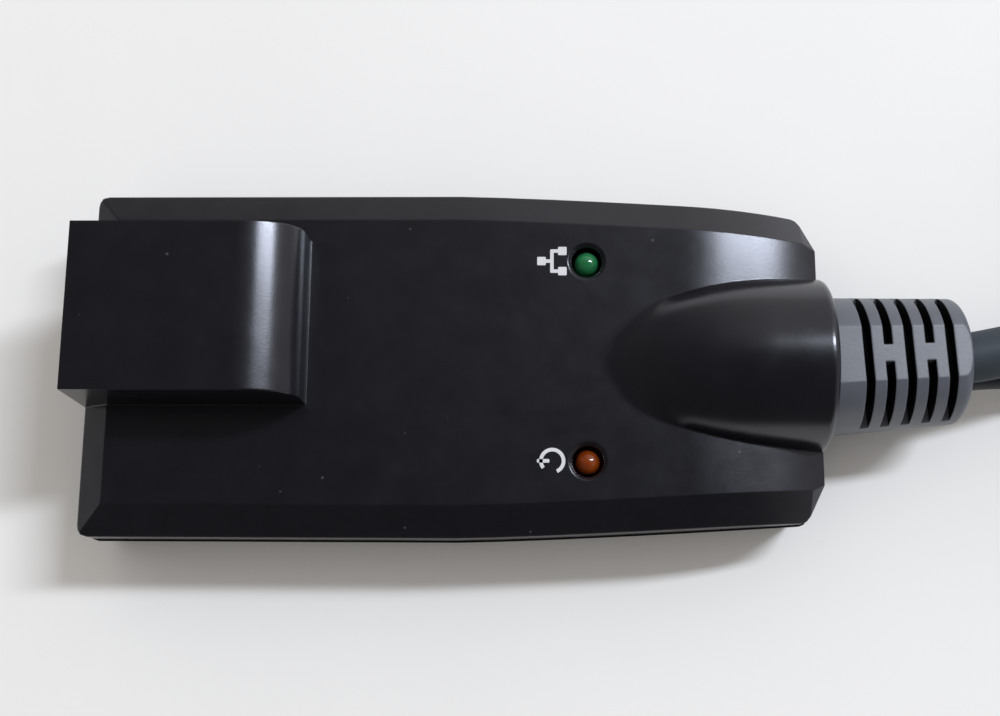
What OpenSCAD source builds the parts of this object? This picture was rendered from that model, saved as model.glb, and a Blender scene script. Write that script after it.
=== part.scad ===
// Adapter that joins a computer's display, keyboard and mouse ports to a network-cable console switch.
// A two-shell case with a network socket in its raised hood at one end. At the other end a ribbed
// strain relief holds two cords: one to a 15-way display plug, and one that splits to two round plugs.
// +X runs from the socket to the cords, +Y across the case, +Z up. The origin is on the surface that
// the case lies on, under the middle of the case and its strain relief.

/* [Case] */
// Length of the case, from the socket's end to the two ears beside the cords
case_len = 86.5; // [84:0.5:94]
// Width of the case
case_w = 41; // [40:0.5:45]
// Height of the flat top face
top_z = 13.7; // [13.3:0.1:15]
// Height of the seam between the shells
seam_z = 6.8; // [6.4:0.1:7.4]
// Thickness of the shells' walls
wall = 1.9; // [1.6:0.1:2.2]
// Thickness of the case's floor
floor_t = 2; // [1.6:0.1:2.4]
// Width of the bevel along each long side, seen from above
bevel_w = 3.6; // [3:0.1:4.2]
// Height of the bevels round the top face
bevel_h = 2.3; // [1.8:0.1:2.8]
// Width of the bevel at the socket's end, seen from above
end_bevel_w = 3.3; // [2.6:0.1:4]
// Radius of the two corners at the socket's end, seen from above
corner_r = 1.2; // [0.8:0.1:2]
// Width of the chamfer round the underside
foot_chamfer = 1; // [0.6:0.1:1.4]
// How far the lower shell stands out past the upper one on each side
base_proud = 0.2; // [0.1:0.05:0.3]
// How far the lower shell draws in towards the underside
base_draft = 0.5; // [0.3:0.1:0.8]

/* [Ears] */
// Where the sides begin to draw in, from the socket's end
taper_start = 44; // [36:1:52]
// How far each side has drawn in at the ears' end
ear_taper = 2.25; // [1.5:0.05:3]
// Where the top begins to roll down, from the socket's end
roll_start = 70.5; // [68:0.5:74]
// Radius of the roll
roll_r = 36; // [34:1:44]
// Length of the cut across each ear's outer corner
ear_cut_l = 2.6; // [1.6:0.1:3.4]
// Width of the cut across each ear's outer corner
ear_cut_w = 4.3; // [3:0.1:5]

/* [Socket hood] */
// Length of the hood, from the socket's end
hood_len = 26.4; // [25:0.2:30]
// Width of the hood
hood_w = 19.7; // [19.3:0.1:22]
// Height of the hood's flat top
hood_z = 22.5; // [22.2:0.1:25]
// How far the hood's centre line lies beside the case's
hood_y = 4.45; // [3:0.05:5]
// Radius of the roll at the hood's inner end
hood_r = 5.15; // [4:0.05:6.5]
// How far the hood's end leans in over its height
hood_end_draft = 0.6; // [0.2:0.1:1]
// How far each side of the hood leans in over its height
hood_side_draft = 0.22; // [0.1:0.02:0.5]

/* [Cord boss] */
// Height of the cords' axis
axis_z = 9.2; // [9:0.1:9.6]
// Radius of the boss round the strain relief
boss_r = 10.4; // [10.2:0.1:11.2]
// Length of the boss's rounded nose
nose_len = 21; // [20:0.5:22]
// How far the nose's soft foot runs out over the top face and up the nose
nose_foot = 1; // [0.5:0.5:3]
// Length of the boss's straight part
boss_straight = 7; // [6:0.5:9]
// Distance by which the boss stands past the ears
boss_past = 0.5; // [0.2:0.1:1.5]
// Radius of the rounding on the boss's outer edge
boss_round = 1; // [0.5:0.1:1.6]

/* [Strain relief] */
// Length of the strain relief outside the boss
relief_len = 18; // [17:0.5:22]
// Radius of the strain relief at the boss
relief_r = 8.2; // [7.8:0.1:8.6]
// Radius of the strain relief at its tip
relief_tip_r = 7.45; // [6.9:0.05:7.8]
// Half of the width of the flat band along its top and underside
relief_band = 3.25; // [2.4:0.05:3.6]
// Angle by which it leans towards +Y
relief_lean = 2.6; // [0:0.2:5]
// Width of a slot
slot_w = 1; // [0.8:0.1:1.2]
// Distance from one slot to the next
slot_pitch = 2.37; // [2.2:0.01:2.6]
// Distance from the boss to the middle of the first slot
slot_first = 3.6; // [3:0.1:4.4]
// Depth of the slots
slot_depth = 2; // [1.4:0.1:2.4]
// Number of slots
slot_count = 5; // [3:1:5]
// Width of the bridge across every second slot
bridge_w = 2; // [1.4:0.1:3]
// Angle from the side at which the slots end
slot_end_deg = 16; // [10:1:30]
// Radius of the rounding at the tip
relief_round = 3; // [2:0.1:3.6]
// Radius of the flange that the shells hold
flange_r = 9.2; // [9:0.1:9.4]
// Thickness of that flange
flange_t = 2.6; // [2:0.1:3.2]
// Radius of the sleeve inside the case
sleeve_r = 6; // [5.4:0.1:6.2]
// Length of the sleeve inside the case
sleeve_len = 6; // [5:0.5:7]

/* [Lamps] */
// Distance of the lamps from the socket's end
lamp_x = 59; // [54:0.5:60]
// Distance of each lamp from the case's centre line
lamp_y = 11.8; // [11:0.1:13]
// Radius of a lamp's lens
lamp_r = 1.45; // [1.3:0.05:1.5]
// How far a lens lies below the top face
lamp_sunk = 0.2; // [0:0.05:0.8]
// Radius of the holes over the lamps
lamp_hole_r = 2.2; // [2:0.05:2.4]
// Width of the chamfer round those holes
lamp_chamfer = 0.4; // [0.2:0.05:0.6]

/* [Circuit board] */
// Length of the board
board_len = 63; // [60:0.5:64]
// Distance of the board's long edges from the case's sides
board_inset = 3.4; // [3.3:0.1:4]
// Thickness of the board
board_t = 1.6; // [1.2:0.1:1.8]

/* [Network socket] */
// Width of the socket's body
jack_w = 15.8; // [15.4:0.1:16]
// Height of the socket's body over the board
jack_h = 13.3; // [12.8:0.1:13.5]
// Length of the socket's body
jack_len = 18; // [16:0.5:19]
// Width of the opening for the network plug
port_w = 11.8; // [11.7:0.05:12]
// Height of the opening for the network plug
port_h = 6.8; // [6.6:0.1:7]
// Depth of the opening
port_depth = 13; // [12:0.5:14]
// Width of the channel for the plug's latch
latch_w = 6.2; // [6:0.1:6.6]
// Height of the channel for the plug's latch
latch_h = 2.2; // [1.8:0.1:2.6]
// Distance from one contact to the next
contact_pitch = 1.02; // [1:0.01:1.04]
// Width of a contact
contact_w = 0.45; // [0.35:0.05:0.5]
// Thickness of a contact
contact_t = 0.35; // [0.25:0.05:0.4]
// How far the contacts spring down into the opening
contact_drop = 2.3; // [1.8:0.1:2.4]

/* [Case screws] */
// Radius of the screws' heads
screw_head_r = 2.3; // [2:0.1:2.4]
// Height of the screws' heads
screw_head_h = 1.5; // [1.2:0.1:1.8]
// Radius of the screws' shanks
screw_r = 1; // [0.9:0.05:1.2]

/* [Display plug] */
// Width of the display plug's moulding
vga_w = 31.2; // [31:0.1:32]
// Thickness of the display plug's moulding
vga_t = 15.6; // [15.2:0.1:16]
// Length of the moulding's wide front block
vga_block_l = 10; // [8:0.5:12]
// Length of the whole moulding without its cord sleeve
vga_body_l = 37; // [36:0.5:42]
// Width of the moulding behind its front block
vga_body_w = 18; // [17:0.2:18.4]
// Length of the cord sleeve
vga_sleeve_l = 13; // [10:0.5:16]
// Width of the plug's metal shell
shell_w = 16.8; // [16.6:0.1:17]
// Height of the plug's metal shell
shell_h = 8.3; // [8.1:0.1:8.5]
// How far the metal shell stands out of its flange
shell_depth = 5.9; // [5.6:0.1:6.2]
// Thickness of the metal shell
shell_t = 0.5; // [0.4:0.05:0.6]
// Width of the metal flange
plate_w = 30.8; // [30.4:0.1:31]
// Height of the metal flange
plate_h = 12.5; // [12.2:0.1:12.8]
// Thickness of the metal flange
plate_t = 1; // [0.8:0.1:1.2]
// Distance between the two screws
screw_gap = 25; // [24.8:0.1:25.2]
// Radius of a thumbscrew's thread
thread_r = 1.42; // [1.38:0.01:1.45]
// Length of their full thread
thread_l = 4.3; // [4:0.1:4.3]
// Radius of a thumbscrew's knob
knob_r = 3.1; // [2.8:0.1:3.1]
// Length of a thumbscrew's knob
knob_l = 14; // [11:0.5:16]
// Number of flutes round a knob
knob_flutes = 14; // [10:1:18]
// Radius of a display plug's pin
vga_pin_r = 0.38; // [0.35:0.01:0.4]

/* [Round plugs] */
// Radius of a round plug's moulding
din_r = 6; // [5.8:0.1:6]
// Length of a round plug's moulding
din_l = 22; // [18:0.5:24]
// Length of a round plug's cord sleeve
din_sleeve_l = 13; // [10:0.5:14]
// Radius of a round plug's metal shell
din_shell_r = 4.45; // [4.4:0.01:4.5]
// Length of a round plug's metal shell
din_shell_l = 8; // [7.5:0.1:8.6]
// Thickness of a round plug's metal shell
din_shell_t = 0.4; // [0.3:0.05:0.45]
// Radius of a round plug's pin
din_pin_r = 0.45; // [0.4:0.01:0.5]

/* [Cords] */
// Diameter of the display cord
vga_cord_d = 6; // [5.8:0.1:6.2]
// Diameter of the keyboard and mouse cord before it splits
pair_cord_d = 4.6; // [4.4:0.1:4.8]
// Diameter of the keyboard's cord and of the mouse's
tail_cord_d = 3.5; // [3.3:0.1:3.6]
// Length of the moulding where the cord splits
split_l = 18; // [17:0.5:18]
// Width of the tie round the two cords
tie_w = 5; // [4:0.5:6]
// Thickness of the tie
tie_t = 0.8; // [0.6:0.1:0.9]

/* [Hidden] */
$fn = 64;

// Overrun of every cut past the face that it opens
over = 1;
// Clearance between pieces that seat in each other
fit = 0.05;
// Running clearance round a thumbscrew
play = 0.08;
// Least width of the case's bevels, where its corners cut them away
edge_break = 0.12;

total_len = case_len + boss_past + relief_len;
half_w = case_w / 2;
boss_end = case_len + boss_past;
boss_mid = boss_end - boss_straight;
edge_z = top_z - bevel_h;
roof_z = top_z - wall;
board_x = 1.35 * wall;
board_end = board_x + board_len;
board_w = case_w - 2 * board_inset;

// Moves what is drawn from the socket's end of the case to the middle of case and strain relief
module placed() {
    translate([-total_len / 2, 0, 0]) children();
}

// Turns what is drawn along +Z to lie along +X
module along_x() {
    rotate([0, 90, 0]) children();
}

// Skin over rings of equal length, which run clockwise when seen along the way from the first to the last
function ring_faces(rings, size) = concat(
    [for (r = [0:rings - 2], i = [0:size - 1]) let (j = (i + 1) % size)
        [r * size + i, (r + 1) * size + i, (r + 1) * size + j]],
    [for (r = [0:rings - 2], i = [0:size - 1]) let (j = (i + 1) % size)
        [r * size + i, (r + 1) * size + j, r * size + j]],
    [[for (i = [0:size - 1]) i]],
    [[for (i = [size - 1:-1:0]) (rings - 1) * size + i]]
);
module loft(rings) {
    polyhedron([for (r = rings) each r], ring_faces(len(rings), len(rings[0])));
}

// A closed outline whose corners are rounded by r with n steps each
function unit(v) = v / norm(v);
function corner_arc(a, b, c, r, n) =
    let (u = unit(a - b), w = unit(c - b), half = acos(u * w) / 2)
    let (m = b + unit(u + w) * r / sin(half), p = b + u * r / tan(half), q = b + w * r / tan(half))
    let (s = atan2(p[1] - m[1], p[0] - m[0]), e = atan2(q[1] - m[1], q[0] - m[0]))
    let (turn = e - s > 180 ? e - s - 360 : e - s < -180 ? e - s + 360 : e - s)
    [for (i = [0:n]) m + r * [cos(s + turn * i / n), sin(s + turn * i / n)]];
function rounded(points, r, n) =
    let (k = len(points))
    [for (i = [0:k - 1]) each corner_arc(points[(i + k - 1) % k], points[i], points[(i + 1) % k], r, n)];
function box_outline(w, h) = [[-w, -h] / 2, [w, -h] / 2, [w, h] / 2, [-w, h] / 2];

// Half width of the case at x, before its corners are cut
taper_power_share = 1.3;
function drawn_in(x) =
    x > taper_start ? ear_taper * pow((x - taper_start) / (case_len - taper_start), taper_power_share) : 0;
function side_at(x) = half_w - drawn_in(x);

// Half width of the case at x, with the round corners and the ears' cut ones
corner_shares = [0, 0.12, 0.4, 1];
ear_cut_shares = [[0, 0], [0.23, 0.05], [0.42, 0.2], [1, 1]];
ear_cut_x = case_len - ear_cut_l;
function cut_side_at(x) =
    x < corner_r ? half_w - corner_r + sqrt(corner_r * corner_r - pow(corner_r - x, 2)) :
    x > ear_cut_x ? side_at(ear_cut_x) - ear_cut_w * lookup((x - ear_cut_x) / ear_cut_l, ear_cut_shares) :
    side_at(x);

// Height of the top face at x, which rolls down over the ears
function top_at(x) = top_z - (x > roll_start ? roll_r - sqrt(roll_r * roll_r - pow(x - roll_start, 2)) : 0);

// Stations along the case at which its section is worked out
taper_steps = 5;
roll_steps = 7;
stations = concat(
    [for (s = corner_shares) s * corner_r],
    [end_bevel_w, taper_start],
    [for (i = [1:taper_steps]) taper_start + (roll_start - taper_start) * i / taper_steps],
    [for (i = [1:roll_steps]) roll_start + (ear_cut_x - roll_start) * i / roll_steps],
    [for (i = [1:len(ear_cut_shares) - 1]) ear_cut_x + ear_cut_shares[i][0] * ear_cut_l]
);

// One section of the upper shell's outside at x: seam, bevel foot, bevel head, and the same mirrored
function section_at(x) =
    let (c = cut_side_at(x), h = side_at(x), foot = top_at(x) - bevel_h)
    let (head = x < end_bevel_w ? edge_z + bevel_h * x / end_bevel_w : top_at(x))
    let (y = min(h - bevel_w * (head - foot) / bevel_h, c - edge_break))
    let (z = min(head - edge_break, foot + (h - c) * bevel_h / bevel_w))
    [[x, c, seam_z], [x, c, z], [x, y, head], [x, -y, head], [x, -c, z], [x, -c, seam_z]];

// Outline of the case at height z, drawn in by inset, with one station at each end of the straight sides
outline_stations = [for (x = stations) if (x != end_bevel_w) x];
function drawn_x(x, inset) = inset > 0 ? inset + x * (1 - 2 * inset / case_len) : x;
function outline(inset, z) = concat(
    [for (i = [len(outline_stations) - 1:-1:0]) let (x = outline_stations[i])
        [drawn_x(x, inset), cut_side_at(x) - inset, z]],
    [for (x = outline_stations) [drawn_x(x, inset), inset - cut_side_at(x), z]]
);

// The soft foot of the boss's nose, from flat on the top face up to where the nose's curve takes over
boss_rise = top_z - axis_z;
nose_foot_x = nose_len * sqrt(1 - pow(boss_rise / boss_r, 2));
function nose_r(x) = boss_r * sqrt(1 - pow(x / nose_len, 2));
function nose_foot_points() =
    let (n = 5, x = nose_foot_x - nose_foot, r = nose_r(x))
    let (slope = pow(boss_r / nose_len, 2) * x / r)
    let (a = [boss_rise, -nose_foot_x - nose_foot])
    let (b = [boss_rise, -x - (r - boss_rise) / slope])
    let (c = [r, -x])
    concat(
        [[0, a[1]]],
        [for (i = [0:n]) let (t = i / n) pow(1 - t, 2) * a + 2 * t * (1 - t) * b + t * t * c]
    );

// The boss round the strain relief, whole: a revolved bullet that lies along X
module boss(inset) {
    steps = 14;
    r = boss_r - inset;
    nose = nose_len - inset;
    profile = concat(
        inset > 0 ? [[0, -nose]] : nose_foot_points(),
        [for (i = [1:steps]) let (a = 90 * i / steps, x = nose * cos(a))
            if (inset > 0 || x < nose_foot_x - nose_foot) [r * sin(a), -x]],
        [for (i = [0:steps]) let (a = 90 * i / steps)
            [r - boss_round * (1 - cos(a)), boss_straight - boss_round * (1 - sin(a))]],
        [[0, boss_straight]]
    );
    translate([boss_mid, 0, axis_z]) along_x() rotate_extrude() polygon(profile);
}

// The hood over the socket, drawn in by inset: its side view cut by its end view
module hood(inset) {
    steps = 10;
    end = hood_len - inset;
    top = hood_z - inset;
    r = hood_r - inset;
    low = seam_z - (inset > 0 ? over : 0);
    left = hood_y - hood_w / 2 + inset;
    right = hood_y + hood_w / 2 - inset;
    side_view = concat(
        [[inset, low], [inset, edge_z], [inset + hood_end_draft, top]],
        [for (i = [0:steps]) let (a = 90 - 90 * i / steps) [end - r + r * cos(a), top - r + r * sin(a)]],
        [[end, low]]
    );
    end_view = [
        [left, low], [left, edge_z], [left + hood_side_draft, top],
        [right - hood_side_draft, top], [right, edge_z], [right, low],
    ];
    intersection() {
        translate([0, right + over, 0]) rotate([90, 0, 0])
            linear_extrude(right - left + 2 * over) polygon(side_view);
        rotate([90, 0, 90]) linear_extrude(hood_len + over) polygon(end_view);
    }
}

// The passage for the strain relief: out through the end, round its flange, and on to the inside
flange_end = boss_end - 1.3 * wall;
flange_start = flange_end - flange_t;
flange_low = 0.6 * floor_t;
room_end = flange_start - sleeve_len;
room_start = wall + 2 * fit;
module relief_passage() {
    translate([flange_end - fit, 0, axis_z]) along_x()
        cylinder(r = relief_r + fit, h = boss_end - flange_end + over);
    translate([room_end - over, 0, axis_z]) along_x()
        cylinder(r = sleeve_r + fit, h = sleeve_len + 2 * over);
    intersection() {
        translate([flange_start - fit, 0, axis_z]) along_x()
            cylinder(r = flange_r + fit, h = flange_t + 2 * fit);
        translate([room_end, -half_w, flange_low - fit]) cube([case_len, case_w, hood_z]);
    }
}

// The room inside the shells, which narrows under the bevels
function room_side(x) = side_at(x) - 1.2 * wall;
module room(low, high) {
    corners = [room_start, taper_start, room_end];
    translate([0, 0, low]) linear_extrude(high - low) polygon(concat(
        [for (x = corners) [x, -room_side(x)]],
        [for (i = [2:-1:0]) [corners[i], room_side(corners[i])]]
    ));
}
module roof_room() {
    y = room_side(room_end);
    shoulder = edge_z - wall / 2;
    translate([room_start, 0, 0]) rotate([90, 0, 90]) linear_extrude(room_end - room_start) polygon([
        [-y, seam_z - over], [y, seam_z - over], [y, shoulder],
        [y - bevel_w, roof_z], [bevel_w - y, roof_z], [-y, shoulder],
    ]);
}

// Where the four case screws stand, and the posts and wells round them
post_r = screw_head_r + wall / 2;
head_seat_z = screw_head_h + 1.05 * floor_t;
pilot_top = roof_z - 0.4 * wall;
front_screw_x = 2 * wall + post_r;
rear_screw_x = board_end + post_r + wall / 2;
front_screw_y = half_w - 2 * wall - 0.6 * screw_head_r;
rear_screw_y = room_side(rear_screw_x) - post_r;
module each_screw() {
    for (s = [-1, 1]) {
        translate([front_screw_x, s * front_screw_y, 0]) children();
        translate([rear_screw_x, s * rear_screw_y, 0]) children();
    }
}

module top_shell() {
    color("#26262c") placed() difference() {
        union() {
            difference() {
                union() {
                    loft([for (x = stations) section_at(x)]);
                    hood(0);
                    intersection() {
                        boss(0);
                        translate([0, -half_w, seam_z]) cube([total_len, case_w, hood_z]);
                    }
                }
                roof_room();
                hood(wall);
                intersection() {
                    boss(wall);
                    translate([0, -half_w, seam_z]) cube([room_end, case_w, hood_z]);
                }
            }
            each_screw() translate([0, 0, seam_z])
                cylinder(r = screw_head_r, h = roof_z - seam_z + wall / 4);
        }
        relief_passage();
        translate([-over, hood_y - jack_w / 2 - 2 * fit, seam_z - over])
            cube([jack_x + jack_len + over, jack_w + 4 * fit, jack_h + over + 2 * fit]);
        each_screw() cylinder(r = screw_r + fit, h = pilot_top);
        for (s = [-1, 1]) translate([lamp_x, s * lamp_y, 0]) {
            inner = lamp_hole_r - lamp_chamfer;
            cylinder(r = inner, h = top_z + over);
            translate([0, 0, top_z - lamp_chamfer])
                cylinder(r1 = inner, r2 = inner + 2 * lamp_chamfer, h = 2 * lamp_chamfer);
        }
    }
}

// Ledges of the lower shell under the board's long edges
rail_w = 2;
rail_start_share = 0.3;
rail_share = 0.5;

module bottom_shell() {
    rail_y = board_w / 2 - rail_w;
    color("#202025") placed() difference() {
        union() {
            difference() {
                union() {
                    loft([
                        outline(base_draft - base_proud + foot_chamfer, 0),
                        outline(base_draft - base_proud, foot_chamfer),
                        outline(-base_proud, seam_z),
                    ]);
                    intersection() {
                        boss(0);
                        translate([0, -half_w, 0]) cube([total_len, case_w, seam_z]);
                    }
                }
                room(floor_t, seam_z + over);
            }
            each_screw() translate([0, 0, floor_t / 2]) cylinder(r = post_r, h = seam_z - floor_t / 2);
            for (s = [0, 1]) mirror([0, s, 0])
                translate([board_x + rail_start_share * board_len, rail_y, floor_t / 2]) cube([
                    rail_share * board_len,
                    room_side(0) + wall / 4 - rail_y,
                    seam_z - board_t - floor_t / 2,
                ]);
        }
        relief_passage();
        each_screw() {
            translate([0, 0, -over]) cylinder(r = screw_head_r + 4 * fit, h = head_seat_z + over);
            cylinder(r = screw_r + 3 * fit, h = seam_z + over);
        }
    }
}

module case_screws() {
    cross_w = 0.3 * screw_head_r;
    cross_l = 1.3 * screw_head_r;
    cross_end = head_seat_z - screw_head_h / 2;
    color("#8d8f94") placed() each_screw() difference() {
        union() {
            translate([0, 0, head_seat_z - screw_head_h]) cylinder(r = screw_head_r, h = screw_head_h);
            cylinder(r = screw_r, h = pilot_top - 4 * fit);
        }
        translate([0, 0, -over]) cylinder(r = 2 * screw_r, h = head_seat_z - screw_head_h + over);
        for (a = [0, 90]) rotate([0, 0, a])
            translate([-cross_l / 2, -cross_w / 2, 0]) cube([cross_l, cross_w, cross_end]);
    }
}

// The board, cut out round the front screws' posts
module circuit_board() {
    color("#1f5c3a") placed() difference() {
        translate([board_x, -board_w / 2, seam_z - board_t]) cube([board_len, board_w, board_t]);
        each_screw() cylinder(r = post_r + 4 * fit, h = seam_z + over);
    }
}

// The socket's body stands on the board, with its mouth in the end of the hood
jack_x = hood_end_draft;
jack_floor = 1.6;
port_z = seam_z + jack_floor + latch_h;
port_top = port_z + port_h;
module network_socket() {
    key_w = 0.55 * latch_w;
    color("#2b2b2e") placed() translate([jack_x, hood_y, 0]) difference() {
        translate([0, -jack_w / 2, seam_z]) cube([jack_len, jack_w, jack_h]);
        translate([-over, -port_w / 2, port_z]) cube([port_depth + over, port_w, port_h]);
        translate([-over, -latch_w / 2, port_z - latch_h])
            cube([port_depth + over, latch_w, latch_h + over]);
        translate([-over, -key_w / 2, port_z - latch_h - jack_floor / 2])
            cube([port_depth + over, key_w, jack_floor + over]);
    }
}

module socket_contacts() {
    count = 8;
    front = 0.18 * port_depth;
    tip = 0.8 * port_depth;
    profile = [
        [front, port_top], [port_depth, port_top], [port_depth, port_top - contact_t],
        [front + 4 * contact_t, port_top - contact_t], [tip, port_top - contact_drop + contact_t],
        [tip, port_top - contact_drop], [front, port_top - 1.3 * contact_t],
    ];
    color("#c9a24a") placed() for (i = [0:count - 1])
        translate([jack_x, hood_y + contact_w / 2 + (i - (count - 1) / 2) * contact_pitch, 0])
            rotate([90, 0, 0]) linear_extrude(contact_w) polygon(profile);
}

// A lamp: domed lens, rim and two legs that stand on the board
lamp_len = 5.3;
lamp_rim_r = 1.3 * lamp_r;
lamp_rim_t = 1;
leg_w = 0.5;
leg_pitch = 2.54;
module lamp(side) {
    dome_z = top_z - lamp_sunk - lamp_r;
    rim_z = top_z - lamp_sunk - lamp_len;
    placed() translate([lamp_x, side * lamp_y, 0]) {
        translate([0, 0, dome_z]) sphere(r = lamp_r);
        translate([0, 0, rim_z]) cylinder(r = lamp_r, h = dome_z - rim_z);
        translate([0, 0, rim_z]) cylinder(r = lamp_rim_r, h = lamp_rim_t);
        for (s = [-1, 1]) translate([(s * leg_pitch - leg_w) / 2, -leg_w / 2, seam_z])
            cube([leg_w, leg_w, rim_z - seam_z + lamp_rim_t / 2]);
    }
}

module link_lamp() {
    color("#2f9a52") lamp(1);
}

module power_lamp() {
    color("#d9791e") lamp(-1);
}

// A flat chip with legs along two or four of its sides
chip_leg_w = 0.4;
module chip(size, legs, pitch, turns) {
    gap = size[2] / 4;
    reach = size[2] / 1.5;
    translate([-size[0] / 2, -size[1] / 2, gap]) cube(size);
    for (t = turns) rotate([0, 0, t]) {
        half = (t % 180 == 0 ? size[1] : size[0]) / 2;
        for (i = [0:legs - 1]) translate([(i - (legs - 1) / 2) * pitch - chip_leg_w / 2, half, 0]) {
            translate([0, -gap, size[2] / 2]) cube([chip_leg_w, reach, gap]);
            translate([0, reach - 2 * gap, 0]) cube([chip_leg_w, gap, size[2] / 2 + gap]);
        }
    }
}

chip_w = 12;
chip_t = 1.5;
chip_legs = 10;
chip_pitch = 1;
chip_place_shares = [0.5, -0.2];
module control_chip() {
    color("#17171a") placed()
        translate([board_x + chip_place_shares[0] * board_len, chip_place_shares[1] * board_w, seam_z])
            chip([chip_w, chip_w, chip_t], chip_legs, chip_pitch, [0, 90, 180, 270]);
}

memory_size = [5, 4, 1.4];
memory_pitch = 1.27;
memory_place_shares = [0.5, 0.25];
module memory_chip() {
    color("#1b1b1e") placed()
        translate([board_x + memory_place_shares[0] * board_len, memory_place_shares[1] * board_w, seam_z])
            chip(memory_size, 4, memory_pitch, [0, 180]);
}

// The crystal's can is a slot shape on a wider foot
crystal_size = [11, 4.6, 3.5];
crystal_foot = 0.5;
crystal_place_shares = [0.68, -0.22];
module crystal() {
    color("#b9bcc0") placed()
        translate([board_x, 0, seam_z])
            translate([crystal_place_shares[0] * board_len, crystal_place_shares[1] * board_w, 0])
            rotate([0, 0, 90]) {
                linear_extrude(crystal_foot)
                    polygon(rounded(
                        box_outline(crystal_size[0], crystal_size[1]), 0.45 * crystal_size[1], 8
                    ));
                linear_extrude(crystal_size[2]) polygon(rounded(
                    box_outline(crystal_size[0] - crystal_foot, crystal_size[1] - crystal_foot),
                    0.4 * crystal_size[1], 8));
            }
}

can_r = 2.5;
can_h = 4.3;
can_groove = 0.3;
can_place_shares = [[0.42, 0.32], [0.68, 0.2], [0.34, -0.36]];
module capacitors() {
    color("#5d6468") placed() for (p = can_place_shares)
        translate([board_x + p[0] * board_len, p[1] * board_w, seam_z]) rotate_extrude() polygon([
            [0, 0], [can_r, 0], [can_r, can_groove], [can_r - can_groove, 3 * can_groove],
            [can_r, 5 * can_groove], [can_r, can_h - can_groove], [can_r - can_groove, can_h], [0, can_h],
        ]);
}

// The cords' header on the board, its plug, and the wires on to the strain relief
header_size = [6, 13, 4.2];
header_wall = 0.8;
header_plug_l = 4;
header_x = board_end - header_size[0] - 0.5 * header_plug_l;
header_plug_x = header_x + header_size[0] - header_plug_l / 2;
module cord_header() {
    color("#d8d4c6") placed() translate([header_x, -header_size[1] / 2, seam_z]) difference() {
        cube(header_size);
        translate([header_size[0] - header_plug_l / 2, header_wall, header_wall])
            cube([header_plug_l, header_size[1] - 2 * header_wall, header_size[2] - 2 * header_wall]);
    }
}

module header_plug() {
    gap = header_wall + fit;
    color("#cfcbbb") placed() translate([header_plug_x, gap - header_size[1] / 2, seam_z + gap])
        cube([header_plug_l, header_size[1] - 2 * gap, header_size[2] - 2 * gap]);
}

wire_d = 1.2;
wire_sides = 8;
wire_y_shares = [-0.36, -0.12, 0.12, 0.36];
wire_rise_shares = [[0, 0], [0.15, 0], [0.4, 0.2], [0.65, 0.8], [0.85, 1], [1, 1]];
module inner_wires() {
    start = [header_plug_x + header_plug_l, seam_z + header_size[2] / 2];
    run = room_end - start[0];
    color("#b04a3a") placed() for (w = wire_y_shares)
        cord([for (p = wire_rise_shares) [
            start[0] + p[0] * run,
            w * (header_size[1] * (1 - p[1]) + 1.4 * sleeve_r * p[1]),
            start[1] + p[1] * (axis_z - start[1]),
        ]], wire_d, wire_sides);
}

// The strain relief, drawn along +Z: its taper and rounded tip, the flat bands, and the slots
function band_height(r) = sqrt(r * r - relief_band * relief_band);
relief_core_r = relief_tip_r - slot_depth;
module relief_body() {
    steps = 10;
    profile = concat(
        [[0, -play], [relief_r, -play], [relief_r, 0]],
        [for (i = [0:steps]) let (a = 90 * i / steps) [
            relief_tip_r - relief_round * (1 - cos(a)), relief_len - relief_round * (1 - sin(a))]],
        [[0, relief_len]]
    );
    low = band_height(relief_r);
    high = band_height(relief_tip_r);
    intersection() {
        along_x() rotate_extrude() polygon(profile);
        translate([0, boss_r, 0]) rotate([90, 0, 0]) linear_extrude(2 * boss_r) polygon([
            [-over, low], [0, low], [relief_len, high], [relief_len + over, high],
            [relief_len + over, -high], [relief_len, -high], [0, -low], [-over, -low],
        ]);
    }
}
module slot_cut(i) {
    rib = relief_tip_r * sin(slot_end_deg);
    translate([slot_first - slot_w / 2 + i * slot_pitch, 0, 0]) difference() {
        translate([0, -boss_r, -boss_r]) cube([slot_w, 2 * boss_r, 2 * boss_r]);
        translate([-over, 0, 0]) along_x() cylinder(r = relief_core_r, h = slot_w + 2 * over);
        translate([-over, -boss_r - over, -rib]) cube([slot_w + 2 * over, 2 * (boss_r + over), 2 * rib]);
        if (i % 2 == 1) translate([-over, -bridge_w / 2, -boss_r - over])
            cube([slot_w + 2 * over, bridge_w, 2 * (boss_r + over)]);
    }
}

module strain_relief() {
    color("#797b80") placed() {
        translate([boss_end, 0, axis_z]) rotate([0, 0, relief_lean]) difference() {
            relief_body();
            for (i = [0:slot_count - 1]) slot_cut(i);
        }
        translate([flange_end - fit, 0, axis_z]) along_x()
            cylinder(r = relief_r, h = boss_end - flange_end + 2 * fit);
        translate([room_end, 0, axis_z]) along_x() cylinder(r = sleeve_r, h = sleeve_len + flange_t / 2);
        intersection() {
            translate([flange_start, 0, axis_z]) along_x() cylinder(r = flange_r, h = flange_t);
            translate([room_end, -half_w, flange_low]) cube([case_len, case_w, hood_z]);
        }
    }
}

// A cord swept along its points, with one ring of corners square to the way at each point
function ring_at(points, i, d, sides) =
    let (way = unit(points[min(i + 1, len(points) - 1)] - points[max(i - 1, 0)]))
    let (left = unit(cross([0, 0, 1], way)), up = cross(way, left))
    [for (k = [0:sides - 1]) let (a = 360 * k / sides) points[i] + d / 2 * (cos(a) * left + sin(a) * up)];
module cord(points, d, sides) {
    loft([for (i = [0:len(points) - 1]) ring_at(points, i, d, sides)]);
}

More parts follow.
